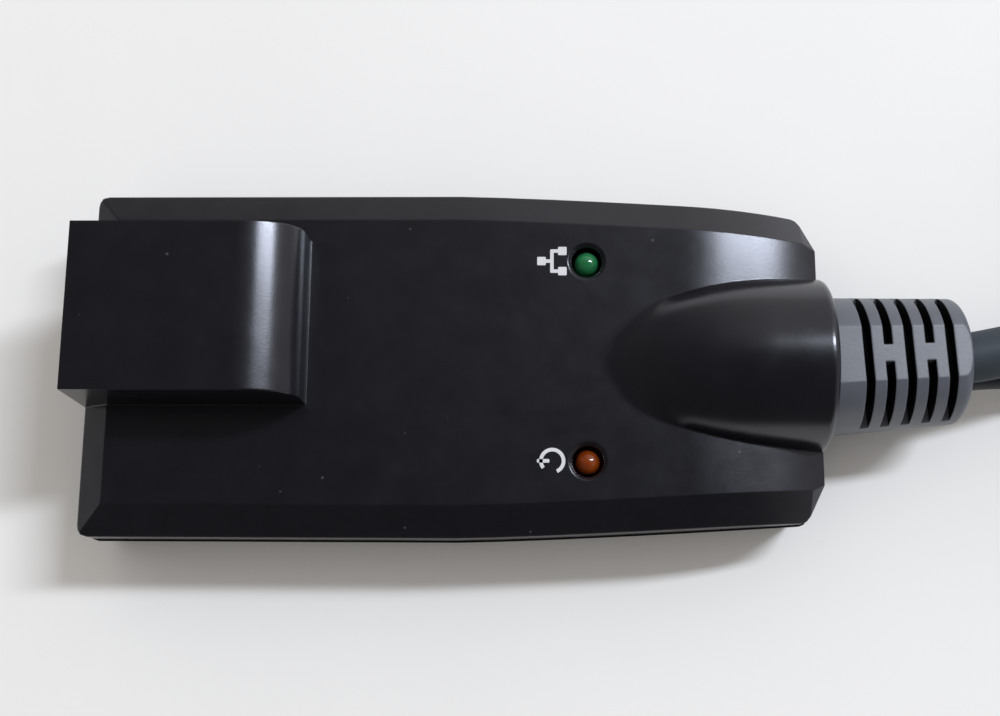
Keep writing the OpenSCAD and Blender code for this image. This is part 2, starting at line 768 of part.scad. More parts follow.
display_route = [
    [51.5, 0.8, 11.2], [56, 1.7, 11.1], [64, 3.6, 9.9], [74, 5.6, 6.8], [83, 6.8, 4.5], [90, 7, 3.9],
    [97, 7, 3.9], [103, 7, 4], [110, 7, 4], [118, 7, 3.4], [130, 7, 3.1], [144, 7, 3.1], [160, 7, 3.1],
    [176, 7, 3.1], [188, 7, 3.1], [194, 7.6, 3.1], [201, 10, 3.1], [207.4, 16, 3.1], [210, 25, 3.1],
    [207.4, 34, 3.1], [201, 40, 3.1], [192, 42.8, 3.1], [182, 42, 3.1], [172, 38.6, 3.1],
    [162, 33.6, 3.3], [152, 29.2, 4.6], [142, 26.8, 6.9], [134, 26.3, 7.8], [130, 26.3, 7.8],
];
pair_route = [
    [51.5, 0.1, 5.7], [56, 0.4, 5.4], [64, 0.6, 4.2], [74, 0.4, 3.3], [83, 0.1, 3], [90, 0, 3],
    [97, 0, 3.2], [103, 0, 3.3], [110, 0, 3.3], [118, -0.2, 2.9], [126, -0.6, 2.6], [134, -0.8, 2.6],
];
keyboard_route = [
    [150, 1.4, 2.4], [155, 1.5, 2.2], [164, 1.5, 1.8], [174, 1.5, 1.8], [184, 1.5, 1.8],
    [191.4, -0.5, 1.8], [196.8, -5.9, 1.8], [198.8, -13.3, 1.8], [196.8, -20.7, 1.8], [191.4, -26.1, 1.8],
    [184, -28.1, 1.8], [174, -27.6, 1.8], [164, -25.9, 1.8], [154, -23.7, 1.8], [144, -22.2, 1.9],
    [135, -21.7, 3], [126, -21.6, 5], [120, -21.6, 6], [116, -21.6, 6],
];
mouse_route = [
    [150, -3, 2.4], [155, -3.1, 2.2], [164, -3.1, 1.8], [174, -3.1, 1.8], [182, -3.1, 1.8],
    [187.3, -4.5, 1.8], [191.1, -8.4, 1.8], [192.5, -13.6, 1.8], [191.1, -18.9, 1.8], [187.3, -22.7, 1.8],
    [182, -24.1, 1.8], [174, -23.4, 1.8], [164, -20.6, 1.8], [154, -16.2, 1.8], [144, -12, 1.9],
    [135, -9.8, 3], [126, -9, 5], [120, -9, 6], [116, -9, 6],
];
cord_sides = 10;
tail_sides = 8;

module display_cord() {
    color("#565e62") cord(display_route, vga_cord_d, cord_sides);
}

module keyboard_mouse_cord() {
    color("#3d3f4a") cord(pair_route, pair_cord_d, cord_sides);
}

module keyboard_cord() {
    color("#3d3f4a") cord(keyboard_route, tail_cord_d, tail_sides);
}

module mouse_cord() {
    color("#3d3f4a") cord(mouse_route, tail_cord_d, tail_sides);
}

// The moulding where the cord splits, round one cord at one end and two at the other
split_at = [133, -0.8, 2.6];
split_gap = 4.4;
split_r = 2.55;
split_tip_r = 2.3;
module cord_splitter() {
    color("#2b2c33") translate(split_at) hull() {
        along_x() cylinder(r = split_r, h = split_l / 3, $fn = 32);
        for (s = [-1, 1]) translate([0.7 * split_l, s * split_gap / 2, split_tip_r - split_r])
            along_x() cylinder(r = split_tip_r, h = 0.3 * split_l, $fn = 32);
    }
}

// The tie round both cords, with its lock on top
tie_at = [104, 7, 4];
tie_pair_at = [104, 0, 3.3];
tie_slack = 0.15;
tie_lock = [4.6, 5.2, 3];
module tie_outline(grow) {
    hull() {
        translate([-tie_at[2], tie_at[1]]) circle(r = vga_cord_d / 2 + grow, $fn = 32);
        translate([-tie_pair_at[2], tie_pair_at[1]]) circle(r = pair_cord_d / 2 + grow, $fn = 32);
    }
}
module cord_tie() {
    top = tie_at[2] + vga_cord_d / 2 + tie_slack;
    color("#1c1c1f") translate([tie_at[0], 0, 0]) {
        along_x() linear_extrude(tie_w) difference() {
            tie_outline(tie_slack + tie_t);
            tie_outline(tie_slack);
        }
        translate([(tie_w - tie_lock[0]) / 2, tie_at[1] - tie_lock[1] / 2, top + tie_t / 4]) cube(tie_lock);
    }
}

// A cone with ring grooves round a cord where it leaves a plug, drawn along +X from the origin
sleeve_wall = 1.6;
sleeve_tip_wall = 0.7;
sleeve_grooves = 4;
sleeve_groove_share = 0.45;
module cord_sleeve(d, length) {
    pitch = length / (sleeve_grooves + 1);
    along_x() difference() {
        cylinder(r1 = d / 2 + sleeve_wall, r2 = d / 2 + sleeve_tip_wall, h = length);
        for (i = [1:sleeve_grooves]) translate([0, 0, i * pitch]) {
            thick = sleeve_wall + (sleeve_tip_wall - sleeve_wall) * i / (sleeve_grooves + 1);
            core = d / 2 + thick - sleeve_groove_share * sleeve_tip_wall;
            difference() {
                cylinder(r = d / 2 + sleeve_wall, h = pitch / 3);
                translate([0, 0, -over]) cylinder(r = core, h = pitch + 2 * over);
            }
        }
    }
}

// The display plug, with the middle of its mating end at the origin and its cord towards +X
display_plug_at = [74, 26.3];
plate_x = shell_depth;
block_x = plate_x + plate_t;
block_end = block_x + vga_block_l;
vga_end = block_x + vga_body_l;
module at_display_plug() {
    translate([display_plug_at[0], display_plug_at[1], vga_t / 2]) children();
}

// Sections of the moulding behind its block: place, width, height and corner as shares
vga_section_shares = [
    [0, 1, 0.86, 0.2], [0.35, 1, 0.86, 0.2], [0.62, 0.9, 0.8, 0.25], [0.86, 0.68, 0.68, 0.3],
    [1, 0.56, 0.62, 0.3],
];
function vga_ring(s) =
    let (w = s[1] * vga_body_w, h = s[2] * vga_t)
    let (x = block_end - over + s[0] * (vga_end - block_end + over))
    [for (p = rounded(box_outline(w, h), s[3] * vga_t, 5)) [x, p[0], p[1]]];
grip_grooves = 5;
grip_w = 1;
grip_depth = 0.5;
module display_plug_body() {
    block_h = vga_t;
    color("#232a3a") at_display_plug() {
        difference() {
            union() {
                translate([block_x, 0, 0]) rotate([90, 0, 90]) linear_extrude(vga_block_l)
                    polygon(rounded(box_outline(vga_w, block_h), 0.16 * vga_t, 8));
                loft([for (s = vga_section_shares) vga_ring(s)]);
            }
            for (s = [-1, 1]) translate([block_x - over, s * screw_gap / 2, 0])
                along_x() cylinder(r = thread_r + play, h = vga_block_l + 2 * over);
            for (i = [0:grip_grooves - 1], s = [-1, 1])
                translate([block_end + (2 * i + 1.5) * grip_w, -vga_body_w / 4, s * 0.43 * vga_t])
                    translate([0, 0, -grip_depth]) cube([grip_w, vga_body_w / 2, 2 * grip_depth]);
        }
        translate([vga_end - over, 0, 0]) cord_sleeve(vga_cord_d, vga_sleeve_l + over);
    }
}

// The D outline of the display plug, wide side up, drawn in by inset
shell_lean = 10;
function d_outline(inset) =
    let (h = shell_h / 2 - inset, top = shell_w / 2 - inset, low = top - 2 * h * tan(shell_lean))
    rounded([[-low, -h], [low, -h], [top, h], [-top, h]], 0.28 * shell_h - inset, 6);
module display_plug_shell() {
    color("#b4b6ba") at_display_plug() rotate([90, 0, 90]) difference() {
        union() {
            linear_extrude(plate_x + plate_t) polygon(d_outline(0));
            translate([0, 0, plate_x]) linear_extrude(plate_t)
                polygon(rounded(box_outline(plate_w, plate_h), 0.2 * plate_h, 6));
        }
        translate([0, 0, -over]) linear_extrude(block_x + 2 * over) polygon(d_outline(shell_t));
        for (s = [-1, 1]) translate([s * screw_gap / 2, 0, 0])
            cylinder(r = thread_r + play, h = block_x + over);
    }
}

insert_rise = 0.8;
module display_plug_insert() {
    color("#2b4fa8") at_display_plug() rotate([90, 0, 90]) translate([0, 0, plate_x - insert_rise])
        linear_extrude(insert_rise + plate_t) polygon(d_outline(shell_t + fit));
}

// Three rows of five pins, the middle row half a step to the side
pin_pitch = 2.29;
pin_row = 1.98;
pin_short = 0.5;
module display_plug_pins() {
    color("#c9a24a") at_display_plug() for (row = [-1:1], i = [-2:2])
        translate([0, (i + (row == 0 ? 0.25 : -0.25)) * pin_pitch, row * pin_row]) along_x() {
            translate([0, 0, pin_short + vga_pin_r])
                cylinder(r = vga_pin_r, h = plate_x - insert_rise - pin_short - vga_pin_r);
            translate([0, 0, pin_short]) cylinder(r1 = vga_pin_r / 2, r2 = vga_pin_r, h = vga_pin_r);
        }
}

// A thumbscrew: its thread's tip, thread, thinner neck, and fluted knob behind the plug's block
screw_tip_x = 1;
knob_gap = 0.3;
driver_w = 0.8;
neck_share = 0.8;
flute_share = 0.12;
module thumbscrew(side) {
    tip = 0.4 * thread_r;
    knob_x = block_end + knob_gap;
    color("#3a3d44") at_display_plug() translate([0, side * screw_gap / 2, 0]) {
        translate([screw_tip_x + tip, 0, 0]) along_x() cylinder(r = thread_r, h = thread_l);
        translate([screw_tip_x + thread_l, 0, 0]) along_x()
            cylinder(r = neck_share * thread_r, h = knob_x - screw_tip_x - thread_l + over);
        translate([screw_tip_x, 0, 0]) along_x() cylinder(r1 = thread_r - tip, r2 = thread_r, h = tip);
        difference() {
            translate([knob_x, 0, 0]) along_x() cylinder(r = knob_r, h = knob_l);
            for (i = [0:knob_flutes - 1]) rotate([360 * i / knob_flutes, 0, 0])
                translate([knob_x + 0.1 * knob_l, 0, knob_r]) along_x()
                    cylinder(r = flute_share * knob_r, h = knob_l);
            translate([knob_x + knob_l - 2 * driver_w, -knob_r - over, -driver_w / 2])
                cube([2 * driver_w + over, 2 * (knob_r + over), driver_w]);
        }
    }
}

module thumbscrew_left() {
    thumbscrew(1);
}

module thumbscrew_right() {
    thumbscrew(-1);
}

// A round plug, with the middle of its mating end at the origin and its cord towards +X
keyboard_plug_at = [74, -21.6];
mouse_plug_at = [74, -9];
module at_keyboard_plug() {
    translate([keyboard_plug_at[0], keyboard_plug_at[1], din_r]) children();
}
module at_mouse_plug() {
    translate([mouse_plug_at[0], mouse_plug_at[1], din_r]) children();
}

din_rings = 4;
din_ring_w = 1;
din_ring_depth = 0.4;
din_flat_share = 0.86;
module round_plug_body() {
    shoulder = din_shell_l + 0.75 * din_l;
    end = din_shell_l + din_l;
    rear_r = tail_cord_d / 2 + sleeve_wall;
    difference() {
        along_x() rotate_extrude() polygon([
            [0, din_shell_l], [0.9 * din_r, din_shell_l], [din_r, din_shell_l + 0.1 * din_r],
            [din_r, shoulder], [0.9 * din_r, shoulder + 0.35 * (end - shoulder)],
            [rear_r, end], [0, end],
        ]);
        for (i = [0:din_rings - 1]) translate([din_shell_l + 0.35 * din_l + 2 * i * din_ring_w, 0, 0])
            along_x() difference() {
                cylinder(r = din_r + over, h = din_ring_w);
                translate([0, 0, -over]) cylinder(r = din_r - din_ring_depth, h = din_ring_w + 2 * over);
            }
        translate([din_shell_l - over, -din_r, din_flat_share * din_r])
            cube([0.25 * din_l + over, 2 * din_r, din_r]);
    }
    translate([end - over, 0, 0]) cord_sleeve(tail_cord_d, din_sleeve_l + over);
}

// The metal skirt, with one wide and two narrow keyways
keyway_w = 1.2;
keyway_depth_share = 0.8;
module round_plug_shell() {
    inner_r = din_shell_r - din_shell_t;
    difference() {
        along_x() cylinder(r = din_shell_r, h = din_shell_l);
        translate([-over, 0, 0]) along_x() cylinder(r = inner_r, h = din_shell_l + 2 * over);
        for (a = [90, 210, 330]) rotate([a, 0, 0]) translate([-over, -keyway_w / 2, inner_r / 2])
            cube([keyway_depth_share * din_shell_l + over, keyway_w, din_shell_r]);
    }
}

core_t = 1.5;
key_size = [5, 2.2, 1.2];
module round_plug_core() {
    core_x = din_shell_l - core_t;
    translate([core_x, 0, 0]) along_x() cylinder(r = din_shell_r - din_shell_t - fit, h = core_t);
    translate([core_x - key_size[0], -key_size[1] / 2, -key_size[2] / 2])
        cube([key_size[0] + core_t / 2, key_size[1], key_size[2]]);
}

// Six pins at the skirt's centre, as shares of its radius
pin_place_shares = [[-0.3, 0.55], [0.3, 0.55], [-0.66, 0.08], [0.66, 0.08], [-0.42, -0.52], [0.42, -0.52]];
din_pin_short = 1.2;
module round_plug_pins() {
    length = din_shell_l - core_t - din_pin_short - din_pin_r;
    for (p = pin_place_shares) translate([din_pin_short, p[0] * din_shell_r, p[1] * din_shell_r]) along_x() {
        translate([0, 0, din_pin_r]) cylinder(r = din_pin_r, h = length);
        cylinder(r1 = din_pin_r / 2, r2 = din_pin_r, h = din_pin_r);
    }
}

module keyboard_plug_body() {
    color("#5b3f86") at_keyboard_plug() round_plug_body();
}

module keyboard_plug_shell() {
    color("#b4b6ba") at_keyboard_plug() round_plug_shell();
}

module keyboard_plug_core() {
    color("#18181a") at_keyboard_plug() round_plug_core();
}

module keyboard_plug_pins() {
    color("#c9a24a") at_keyboard_plug() round_plug_pins();
}

module mouse_plug_body() {
    color("#3d7f57") at_mouse_plug() round_plug_body();
}

module mouse_plug_shell() {
    color("#b4b6ba") at_mouse_plug() round_plug_shell();
}

module mouse_plug_core() {
    color("#18181a") at_mouse_plug() round_plug_core();
}

module mouse_plug_pins() {
    color("#c9a24a") at_mouse_plug() round_plug_pins();
}

top_shell();
bottom_shell();
case_screws();
circuit_board();
network_socket();
socket_contacts();
link_lamp();
power_lamp();
control_chip();
memory_chip();
crystal();
capacitors();
cord_header();
header_plug();
inner_wires();
strain_relief();
display_cord();
keyboard_mouse_cord();
cord_splitter();
keyboard_cord();
mouse_cord();
cord_tie();
display_plug_body();
display_plug_shell();
display_plug_insert();
display_plug_pins();
thumbscrew_left();
thumbscrew_right();
keyboard_plug_body();
keyboard_plug_shell();
keyboard_plug_core();
keyboard_plug_pins();
mouse_plug_body();
mouse_plug_shell();
mouse_plug_core();
mouse_plug_pins();
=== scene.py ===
"""Looks of a console-switch adapter: its finishes, cords, lamps, printed marks and plug details."""

import logging
import math
from dataclasses import dataclass, field
from enum import Enum
from functools import cache

import bpy
from mathutils import Matrix, Vector


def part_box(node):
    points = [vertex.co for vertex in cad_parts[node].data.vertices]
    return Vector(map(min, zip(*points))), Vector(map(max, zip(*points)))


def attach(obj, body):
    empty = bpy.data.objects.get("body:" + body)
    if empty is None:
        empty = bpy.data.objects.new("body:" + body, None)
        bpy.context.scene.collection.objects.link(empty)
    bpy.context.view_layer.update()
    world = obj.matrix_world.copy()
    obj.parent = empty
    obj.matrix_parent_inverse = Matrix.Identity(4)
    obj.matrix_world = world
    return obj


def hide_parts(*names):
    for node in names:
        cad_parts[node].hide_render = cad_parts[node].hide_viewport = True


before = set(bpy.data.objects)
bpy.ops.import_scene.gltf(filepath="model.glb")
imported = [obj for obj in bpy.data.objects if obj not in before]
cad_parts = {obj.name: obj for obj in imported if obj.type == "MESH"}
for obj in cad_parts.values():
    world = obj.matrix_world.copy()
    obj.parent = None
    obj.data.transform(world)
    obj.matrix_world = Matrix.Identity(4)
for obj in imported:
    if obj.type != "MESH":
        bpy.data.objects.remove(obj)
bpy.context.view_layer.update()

MM = 0.001
BODY = "adapter"
# The least share of a direction along an axis that counts as lying along it
ALONG = 0.9
# A distance in metres that is too small to matter
TINY = 1e-6
log = logging.getLogger("adapter")
Point = tuple[float, float, float]
Colour = tuple[float, float, float]
Piece = bpy.types.Object
Face = bpy.types.MeshPolygon
Edge = bpy.types.MeshEdge
Material = bpy.types.Material
Tree = bpy.types.NodeTree
Node = bpy.types.Node
Socket = bpy.types.NodeSocket


class Axis(Enum):
    """The axes that pieces are cut along, as unit vectors."""

    X = (1.0, 0.0, 0.0)
    Z = (0.0, 0.0, 1.0)


class FarEnd(Enum):
    """What a cord ends in."""

    PLUG = "plug"
    FITTING = "fitting"


def millimetres(*values: float) -> Point:
    """Returns the values, given in millimetres, in metres."""
    return tuple(v * MM for v in values)


def node(name: str) -> Piece:
    """Returns the object of a CAD node."""
    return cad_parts[name]


def add_node(tree: Tree, kind: str, **values: object) -> Node:
    """Adds a shader node to a tree and returns it.

    Args:
        tree: The tree.
        kind: The node's type, without the words that all shader nodes share.
        **values: Attributes to set on it.
    """
    made = tree.nodes.new("ShaderNode" + kind)
    for name, value in values.items():
        setattr(made, name, value)
    return made


def preset(made: Node, **values: object) -> Node:
    """Sets a node's inputs, whose names have underlines for spaces, and returns the node."""
    for name, value in values.items():
        made.inputs[name.replace("_", " ")].default_value = value
    return made


def wire(tree: Tree, *links: tuple) -> None:
    """Links nodes.

    Args:
        tree: The tree that they stand in.
        *links: For each link, a node, its output, the next node and its input.
    """
    for start, output, end, entry in links:
        tree.links.new(start.outputs[output], end.inputs[entry])


# Shared effects


class Effects:
    """Node groups for effects that several finishes share, each built once."""

    mottle_span = (0.3, 0.7)
    cell_share = 0.6
    speck_edge = (0.09, 0.03)
    speck_rarity = 0.9
    speck_colour = (0.55, 0.55, 0.58, 1.0)

    @classmethod
    def group(cls, name: str, inputs: dict[str, str], outputs: dict[str, str]) -> tuple:
        """Starts a node group.

        Args:
            name: The group's name.
            inputs: Kinds of socket by input name.
            outputs: Kinds of socket by output name.

        Returns:
            The tree, its input node and its output node.
        """
        tree = bpy.data.node_groups.new(name, "ShaderNodeTree")
        for label, kind in inputs.items():
            tree.interface.new_socket(label, in_out="INPUT", socket_type="NodeSocket" + kind)
        for label, kind in outputs.items():
            tree.interface.new_socket(label, in_out="OUTPUT", socket_type="NodeSocket" + kind)
        return tree, tree.nodes.new("NodeGroupInput"), tree.nodes.new("NodeGroupOutput")

    @classmethod
    @cache
    def mottle(cls) -> Tree:
        """Returns the group that lets a colour and a mask drift softly over a surface."""
        tree, given, out = cls.group(
            "mottle",
            {"Vector": "Vector", "Scale": "Float", "Dark": "Color", "Light": "Color"},
            {"Color": "Color", "Mask": "Float"},
        )
        low, high = cls.mottle_span
        noise = preset(add_node(tree, "TexNoise"), Detail=5.0, Roughness=0.62)
        span = preset(add_node(tree, "MapRange"), From_Min=low, From_Max=high)
        mix = add_node(tree, "Mix", data_type="RGBA")
        wire(
            tree, (given, "Vector", noise, "Vector"), (given, "Scale", noise, "Scale"),
            (noise, "Fac", span, "Value"), (span, "Result", mix, "Factor"),
            (given, "Dark", mix, "A"), (given, "Light", mix, "B"),
            (mix, "Result", out, "Color"), (span, "Result", out, "Mask"),
        )
        return tree

    @classmethod
    @cache
    def grain(cls) -> Tree:
        """Returns the group for the fine eroded grain that a mould gives to plastic."""
        tree, given, out = cls.group(
            "grain", {"Vector": "Vector", "Scale": "Float"}, {"Height": "Float"}
        )
        noise = preset(add_node(tree, "TexNoise"), Detail=3.0, Roughness=0.7)
        cells = add_node(tree, "TexVoronoi", feature="SMOOTH_F1")
        blend = add_node(tree, "Math", operation="MULTIPLY_ADD")
        blend.inputs[1].default_value = cls.cell_share
        for texture in (noise, cells):
            wire(
                tree, (given, "Vector", texture, "Vector"), (given, "Scale", texture, "Scale"),
            )
        tree.links.new(cells.outputs["Distance"], blend.inputs[0])
        wire(
            tree, (noise, "Fac", blend, 2), (blend, "Value", out, "Height"),
        )
        return tree

    @classmethod
    @cache
    def dust(cls) -> Tree:
        """Returns the group for sparse pale specks of dust."""
        tree, given, out = cls.group(
            "dust",
            {"Vector": "Vector", "Scale": "Float", "Color": "Color", "Amount": "Float"},
            {"Color": "Color", "Mask": "Float"},
        )
        far_edge, near_edge = cls.speck_edge
        cells = preset(add_node(tree, "TexVoronoi"), Randomness=1.0)
        near = preset(add_node(tree, "MapRange"), From_Min=far_edge, From_Max=near_edge)
        rare = add_node(tree, "SeparateColor")
        keep = add_node(tree, "Math", operation="GREATER_THAN")
        keep.inputs[1].default_value = cls.speck_rarity
        both = add_node(tree, "Math", operation="MULTIPLY")
        amount = add_node(tree, "Math", operation="MULTIPLY")
        mix = add_node(tree, "Mix", data_type="RGBA")
        mix.inputs["B"].default_value = cls.speck_colour
        wire(
            tree, (given, "Vector", cells, "Vector"), (given, "Scale", cells, "Scale"),
            (cells, "Distance", near, "Value"), (cells, "Color", rare, "Color"),
            (rare, "Red", keep, 0), (near, "Result", both, 0), (keep, "Value", both, 1),
            (both, "Value", amount, 0), (given, "Amount", amount, 1),
            (amount, "Value", mix, "Factor"), (given, "Color", mix, "A"),
            (mix, "Result", out, "Color"), (amount, "Value", out, "Mask"),
        )
        return tree


class Graph:
    """A material under construction, around one Principled shader."""

    def __init__(self, name: str) -> None:
        """Starts a material.

        Args:
            name: The material's name.
        """
        self.material = bpy.data.materials.new(name)
        self.material.use_nodes = True
        self.tree = self.material.node_tree
        self.shader = self.tree.nodes["Principled BSDF"]
        self.place = self.add("TexCoord").outputs["Object"]

    def add(self, kind: str, **values: object) -> Node:
        """Adds a node.

        Args:
            kind: The node's type, as add_node takes it.
            **values: Attributes to set on it.

        Returns:
            The node.
        """
        return add_node(self.tree, kind, **values)

    def effect(self, tree: Tree, **values: object) -> Node:
        """Places a shared effect on the piece's own coordinates.

        Args:
            tree: The effect's node group.
            **values: Values for its inputs.

        Returns:
            The group's node.
        """
        made = preset(self.add("Group", node_tree=tree), **values)
        self.link(self.place, made.inputs["Vector"])
        return made

    def link(self, start: Socket, end: Socket) -> None:
        """Links one socket to another."""
        self.tree.links.new(start, end)

    def base(self, made: Node) -> None:
        """Takes the shader's base colour from a node."""
        self.link(made.outputs["Color"], self.shader.inputs["Base Color"])

    def settings(self, **values: float) -> None:
        """Sets constants on the shader, whose names have underlines for spaces."""
        preset(self.shader, **values)

    def relief(
        self, height: Socket, depth: float, edge: float, blend: "Blend | None" = None
    ) -> None:
        """Gives the surface its grain and rounds its edges to the eye.

        Args:
            height: The grain's height.
            depth: The grain's depth in metres.
            edge: The edges' radius in metres.
            blend: The place where the radius is larger, if there is one.
        """
        rounding = preset(self.add("Bevel", samples=8), Radius=edge)
        if blend:
            self.link(self.widened(blend, edge), rounding.inputs["Radius"])
        bump = preset(self.add("Bump"), Distance=depth, Strength=1.0)
        self.link(height, bump.inputs["Height"])
        self.link(rounding.outputs["Normal"], bump.inputs["Normal"])
        self.link(bump.outputs["Normal"], self.shader.inputs["Normal"])

    def widened(self, blend: "Blend", edge: float) -> Socket:
        """Returns the edges' radius, widened round a place.

        Args:
            blend: The place.
            edge: The radius far from it.
        """
        near, far = blend.fade
        away = self.add("VectorMath", operation="SUBTRACT")
        away.inputs[1].default_value = blend.centre
        length = self.add("VectorMath", operation="LENGTH")
        span = preset(
            self.add("MapRange", interpolation_type="SMOOTHSTEP"),
            From_Min=near, From_Max=far, To_Min=blend.radius, To_Max=edge,
        )
        self.link(self.place, away.inputs[0])
        self.link(away.outputs["Vector"], length.inputs[0])
        self.link(length.outputs["Value"], span.inputs["Value"])
        return span.outputs["Result"]

    def roughness(self, mask: Socket, low: float, high: float) -> None:
        """Lets the roughness run from low to high with a mask."""
        span = preset(self.add("MapRange"), To_Min=low, To_Max=high)
        self.link(mask, span.inputs["Value"])
        self.link(span.outputs["Result"], self.shader.inputs["Roughness"])


# Finishes


def shade(colour: Colour, share: float) -> tuple[float, float, float, float]:
    """Returns a colour made lighter or darker by a share, with its alpha."""
    return (*(c * share for c in colour), 1.0)


@dataclass(frozen=True)
class Blend:
    """A place round which edges run softly into each other, in metres."""

    centre: Point
    radius: float
    fade: tuple[float, float]


NOSE_TIP = Blend(millimetres(9.5, 0.0, 13.7), 1.8 * MM, (0.004, 0.012))


@dataclass(frozen=True)
class Moulded:
    """Moulded plastic or rubber with a fine grain, soft mottling and a little dust."""

    name: str
    colour: Colour
    low: float = 0.34
    high: float = 0.42
    grain_per_m: float = 5200.0
    grain_depth: float = 4e-6
    edge: float = 0.25 * MM
    mottle: float = 0.12
    dust: float = 0.35
    specular: float = 0.5
    sheen_tint: Colour = (1.0, 1.0, 1.0)
    blend: Blend | None = None

    def material(self) -> Material:
        """Returns the finish as a material."""
        graph = Graph(self.name)
        tone = graph.effect(
            Effects.mottle(), Scale=260.0,
            Dark=shade(self.colour, 1 - self.mottle), Light=shade(self.colour, 1 + self.mottle),
        )
        dust = graph.effect(Effects.dust(), Scale=420.0, Amount=self.dust)
        graph.link(tone.outputs["Color"], dust.inputs["Color"])
        graph.base(dust)
        graph.roughness(tone.outputs["Mask"], self.low, self.high)
        grain = graph.effect(Effects.grain(), Scale=self.grain_per_m)
        graph.relief(grain.outputs["Height"], self.grain_depth, self.edge, self.blend)
        graph.settings(Specular_IOR_Level=self.specular, Specular_Tint=(*self.sheen_tint, 1.0))
        return graph.material


@dataclass(frozen=True)
class Plated:
    """Plated or bare metal with faint marks of its forming."""

    name: str
    colour: Colour
    low: float = 0.2
    high: float = 0.34
    edge: float = 0.12 * MM
    dark: float = 0.86
    light: float = 1.06
    grain_depth: float = 1.5e-6

    def material(self) -> Material:
        """Returns the finish as a material."""
        graph = Graph(self.name)
        tone = graph.effect(
            Effects.mottle(), Scale=900.0,
            Dark=shade(self.colour, self.dark), Light=shade(self.colour, self.light),
        )
        graph.base(tone)
        graph.roughness(tone.outputs["Mask"], self.low, self.high)
        grain = graph.effect(Effects.grain(), Scale=9000.0)
        graph.relief(grain.outputs["Height"], self.grain_depth, self.edge)
        graph.settings(Metallic=1.0)
        return graph.material


@dataclass(frozen=True)
class Lens:
    """The tinted, slightly cloudy plastic of a lamp."""

    name: str
    colour: Colour
    deep: Colour
    low: float = 0.1
    high: float = 0.16
    edge: float = 0.05 * MM
    grain_depth: float = 5e-7

    def material(self) -> Material:
        """Returns the finish as a material."""
        graph = Graph(self.name)
        tone = graph.effect(
            Effects.mottle(), Scale=700.0, Dark=shade(self.deep, 1.0), Light=shade(self.colour, 1.0)
        )
        graph.base(tone)
        graph.roughness(tone.outputs["Mask"], self.low, self.high)
        grain = graph.effect(Effects.grain(), Scale=3000.0)
        graph.relief(grain.outputs["Height"], self.grain_depth, self.edge)
        graph.settings(Coat_Weight=0.6, Coat_Roughness=0.05, Transmission_Weight=0.25, IOR=1.5)
        return graph.material


@dataclass(frozen=True)
class Board:
    """Solder mask over a faint pattern of tracks."""

    name: str = "solder_mask"
    mask: Colour = (0.012, 0.11, 0.05)
    track: Colour = (0.03, 0.2, 0.09)
    low: float = 0.25
    high: float = 0.35
    edge: float = 0.1 * MM
    track_depth: float = 1e-5

    def material(self) -> Material:
        """Returns the finish as a material."""
        graph = Graph(self.name)
        tracks = preset(
            graph.add("TexBrick", offset=0.37), Scale=320.0, Mortar_Size=0.06,
            Color1=shade(self.mask, 1.0), Color2=shade(self.mask, 1.15),
            Mortar=shade(self.track, 1.0),
        )
        graph.link(graph.place, tracks.inputs["Vector"])
        graph.base(tracks)
        tone = graph.effect(Effects.mottle(), Scale=400.0)
        graph.roughness(tone.outputs["Mask"], self.low, self.high)
        graph.relief(tracks.outputs["Fac"], self.track_depth, self.edge)
        return graph.material


CASE_BLACK = Moulded(
    "case_black", (0.0066, 0.0066, 0.0090), low=0.20, high=0.25, specular=0.75,
    sheen_tint=(0.92, 0.93, 1.0), blend=NOSE_TIP, dust=0.1,
)
BASE_BLACK = Moulded(
    "base_black", (0.0070, 0.0070, 0.0090), grain_depth=7e-6, low=0.3, high=0.36, dust=0.1,
)
RELIEF_GREY = Moulded(
    "relief_grey", (0.088, 0.096, 0.116), low=0.4, high=0.5, specular=0.8, grain_per_m=3600.0,
    grain_depth=9e-6, edge=0.3 * MM, mottle=0.1, dust=0.15,
)
# Near-black painted shade for the walls and floors of the strain relief's slots, in place of the
# relief's own grey
SLOT_PAINTED_SHADE = Moulded("slot_painted_shade", (0.006, 0.006, 0.008), low=0.5, high=0.6, specular=0.2)
CORD_GREY = Moulded(
    "cord_grey", (0.036, 0.046, 0.055), low=0.52, high=0.6, specular=0.25, mottle=0.08, dust=0.2,
)
CORD_DARK = Moulded(
    "cord_dark", (0.014, 0.015, 0.022), low=0.5, high=0.58, specular=0.3, mottle=0.08, dust=0.2,
)
TIE_BLACK = Moulded("tie_black", (0.012, 0.012, 0.014), low=0.35, high=0.42, edge=0.15 * MM)
PLUG_BLUE = Moulded("plug_blue", (0.018, 0.03, 0.085), low=0.4, high=0.48, edge=0.5 * MM)
PLUG_PURPLE = Moulded("plug_purple", (0.12, 0.05, 0.24), low=0.36, high=0.44, edge=0.3 * MM)
PLUG_GREEN = Moulded("plug_green", (0.05, 0.22, 0.10), low=0.36, high=0.44, edge=0.3 * MM)
INSERT_BLUE = Moulded("insert_blue", (0.03, 0.10, 0.42), low=0.3, high=0.36, edge=0.1 * MM)
INNER_BLACK = Moulded("inner_black", (0.02, 0.02, 0.022), low=0.35, high=0.45, edge=0.1 * MM)
KNOB_BLACK = Moulded("knob_black", (0.02, 0.02, 0.023), low=0.35, high=0.42, edge=0.15 * MM)
HEADER_CREAM = Moulded("header_cream", (0.68, 0.66, 0.56), low=0.4, high=0.5, edge=0.1 * MM)
WIRE_RED = Moulded("wire_red", (0.42, 0.06, 0.04), low=0.35, high=0.42, edge=0.05 * MM)
PRINT_WHITE = Moulded(
    "print_white", (0.62, 0.62, 0.64), low=0.5, high=0.6, grain_depth=1e-6, edge=0.01 * MM,
    mottle=0.06,
)
SCREW_STEEL = Plated("screw_steel", (0.46, 0.46, 0.47), low=0.28, high=0.4)
